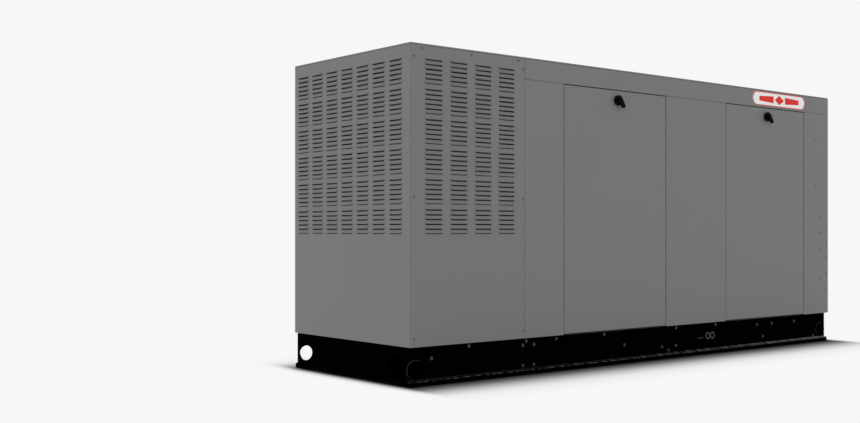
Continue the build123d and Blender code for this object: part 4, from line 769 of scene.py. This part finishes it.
BATTERY_Y = RAIL_FACE - 0.070 - 0.008 - 0.175 + 0.035
POST_TOP = PAN_TOP + 0.210 + 0.030
for name, post_x, (end_y, end_z), material, slot in (
    ("cable_positive", BOX_X + 0.035, SOLENOID, RED_CABLE, None),
    ("cable_negative", BOX_X + 0.205, STARTER, RUBBER, "hose_rubber"),
):
    cable(name, "cabinet", material, [
        (post_x, BATTERY_Y, POST_TOP - 0.004), (post_x, BATTERY_Y, POST_TOP + 0.030),
        (post_x - 0.050, BATTERY_Y + 0.040, POST_TOP + 0.050),
        (BOX_X - 0.080, 0.300, POST_TOP - 0.020), (BOX_X - 0.120, 0.320, 0.220),
        (STATOR_X + 0.300, 0.325, 0.190), (STATOR_X, 0.325, 0.200),
        (STATOR_X - 0.100, 0.320, 0.280), (ENGINE_X + 0.580, 0.290, CRANK_Z + end_z - 0.030),
        (ENGINE_X + 0.560, end_y + 0.050, CRANK_Z + end_z), (ENGINE_X + 0.520, end_y, CRANK_Z + end_z),
    ], 0.007)


# ------------------------------------------------------------------ stage, light and camera
BACKGROUND = 0.93
SHADOW_FORWARD = 0.05           # the shadow's rectangle is moved forward by this
SHADOW_FALL = (3.0, 0.65, 1.0)  # how fast the shadow fades along each axis
SHADOW_REACH = 0.34             # where it has faded into the surround
SHADOW_TONES = [(0.0, grey(0.01)), (0.07, grey(0.18)), (0.20, grey(0.9))]


def shadow_distance(tree):
    """How far a point of the floor is outside the shadow's rectangle."""
    beyond = coordinates(tree)
    for operation, operand in (
        ("ADD", (0.0, SHADOW_FORWARD, 0.0)), ("ABSOLUTE", None),
        ("SUBTRACT", (LENGTH / 2, RUNNER_FACE - SHADOW_FORWARD, 1.0)),
        ("MAXIMUM", (0.0, 0.0, 0.0)), ("MULTIPLY", SHADOW_FALL),
    ):
        step = add(tree, "ShaderNodeVectorMath", operation=operation)
        tree.links.new(beyond, step.inputs[0])
        if operand:
            step.inputs[1].default_value = operand
        beyond = step.outputs["Vector"]
    distance = add(tree, "ShaderNodeVectorMath", operation="LENGTH")
    tree.links.new(beyond, distance.inputs[0])
    return distance.outputs["Value"]


def set_floor():
    """A pale floor, darker before the base, that fades into an equally pale surround."""
    bpy.ops.mesh.primitive_plane_add(size=400, location=(0, 0, 0))
    floor = bpy.context.object
    floor.name = "floor"
    material, tree, shader = new_material("floor")
    distance = shadow_distance(tree)
    tree.links.new(ramp(tree, distance, SHADOW_TONES), shader.inputs["Base Color"])
    shader.inputs["Roughness"].default_value = 0.95
    shader.inputs["Specular IOR Level"].default_value = 0.0
    glow = add(tree, "ShaderNodeEmission", Strength=BACKGROUND)
    fade = add(tree, "ShaderNodeMapRange")
    fade.inputs["From Max"].default_value = SHADOW_REACH
    fade.interpolation_type = "SMOOTHSTEP"
    tree.links.new(distance, fade.inputs["Value"])
    mix = add(tree, "ShaderNodeMixShader")
    tree.links.new(fade.outputs["Result"], mix.inputs["Fac"])
    tree.links.new(shader.outputs["BSDF"], mix.inputs[1])
    tree.links.new(glow.outputs["Emission"], mix.inputs[2])
    tree.links.new(mix.outputs["Shader"], tree.nodes["Material Output"].inputs["Surface"])
    floor.data.materials.append(material)


def set_surround():
    """White light from all round."""
    world = bpy.data.worlds.new("surround")
    bpy.context.scene.world = world
    world.use_nodes = True
    background = world.node_tree.nodes["Background"]
    background.inputs["Color"].default_value = (1.0, 1.0, 1.0, 1.0)
    background.inputs["Strength"].default_value = BACKGROUND


def area_light(name, place, target, size, power):
    """A round lamp that faces its target."""
    data = bpy.data.lights.new(name, "AREA")
    data.shape = "DISK"
    data.size = size
    data.energy = power
    lamp = new_object(name, data)
    lamp.location = place
    aim = Vector(target) - Vector(place)
    lamp.rotation_euler = aim.to_track_quat("-Z", "Y").to_euler()


def set_camera():
    """Level camera off the near corner of the radiator end, about 4.4 metres from it."""
    azimuth = math.radians(41.737)
    data = bpy.data.cameras.new("camera")
    data.sensor_width = 36.0
    data.lens = 47.094
    data.shift_x = -0.1221
    data.shift_y = 0.0212
    data.clip_end = 200.0
    camera = new_object("camera", data)
    camera.location = (-3.973, -4.036, 0.617)
    camera.rotation_euler = (math.radians(90.0), 0.0, -azimuth)
    bpy.context.scene.camera = camera


bpy.context.scene.view_settings.view_transform = "Standard"
set_floor()
set_surround()
area_light("key", (-3.0, -6.0, 4.5), target=(0, 0, 0.6), size=4.0, power=40.0)
area_light("end_fill", (-7.0, 0.5, 3.0), target=(-1.4, 0, 0.7), size=3.0, power=25.0)
set_camera()
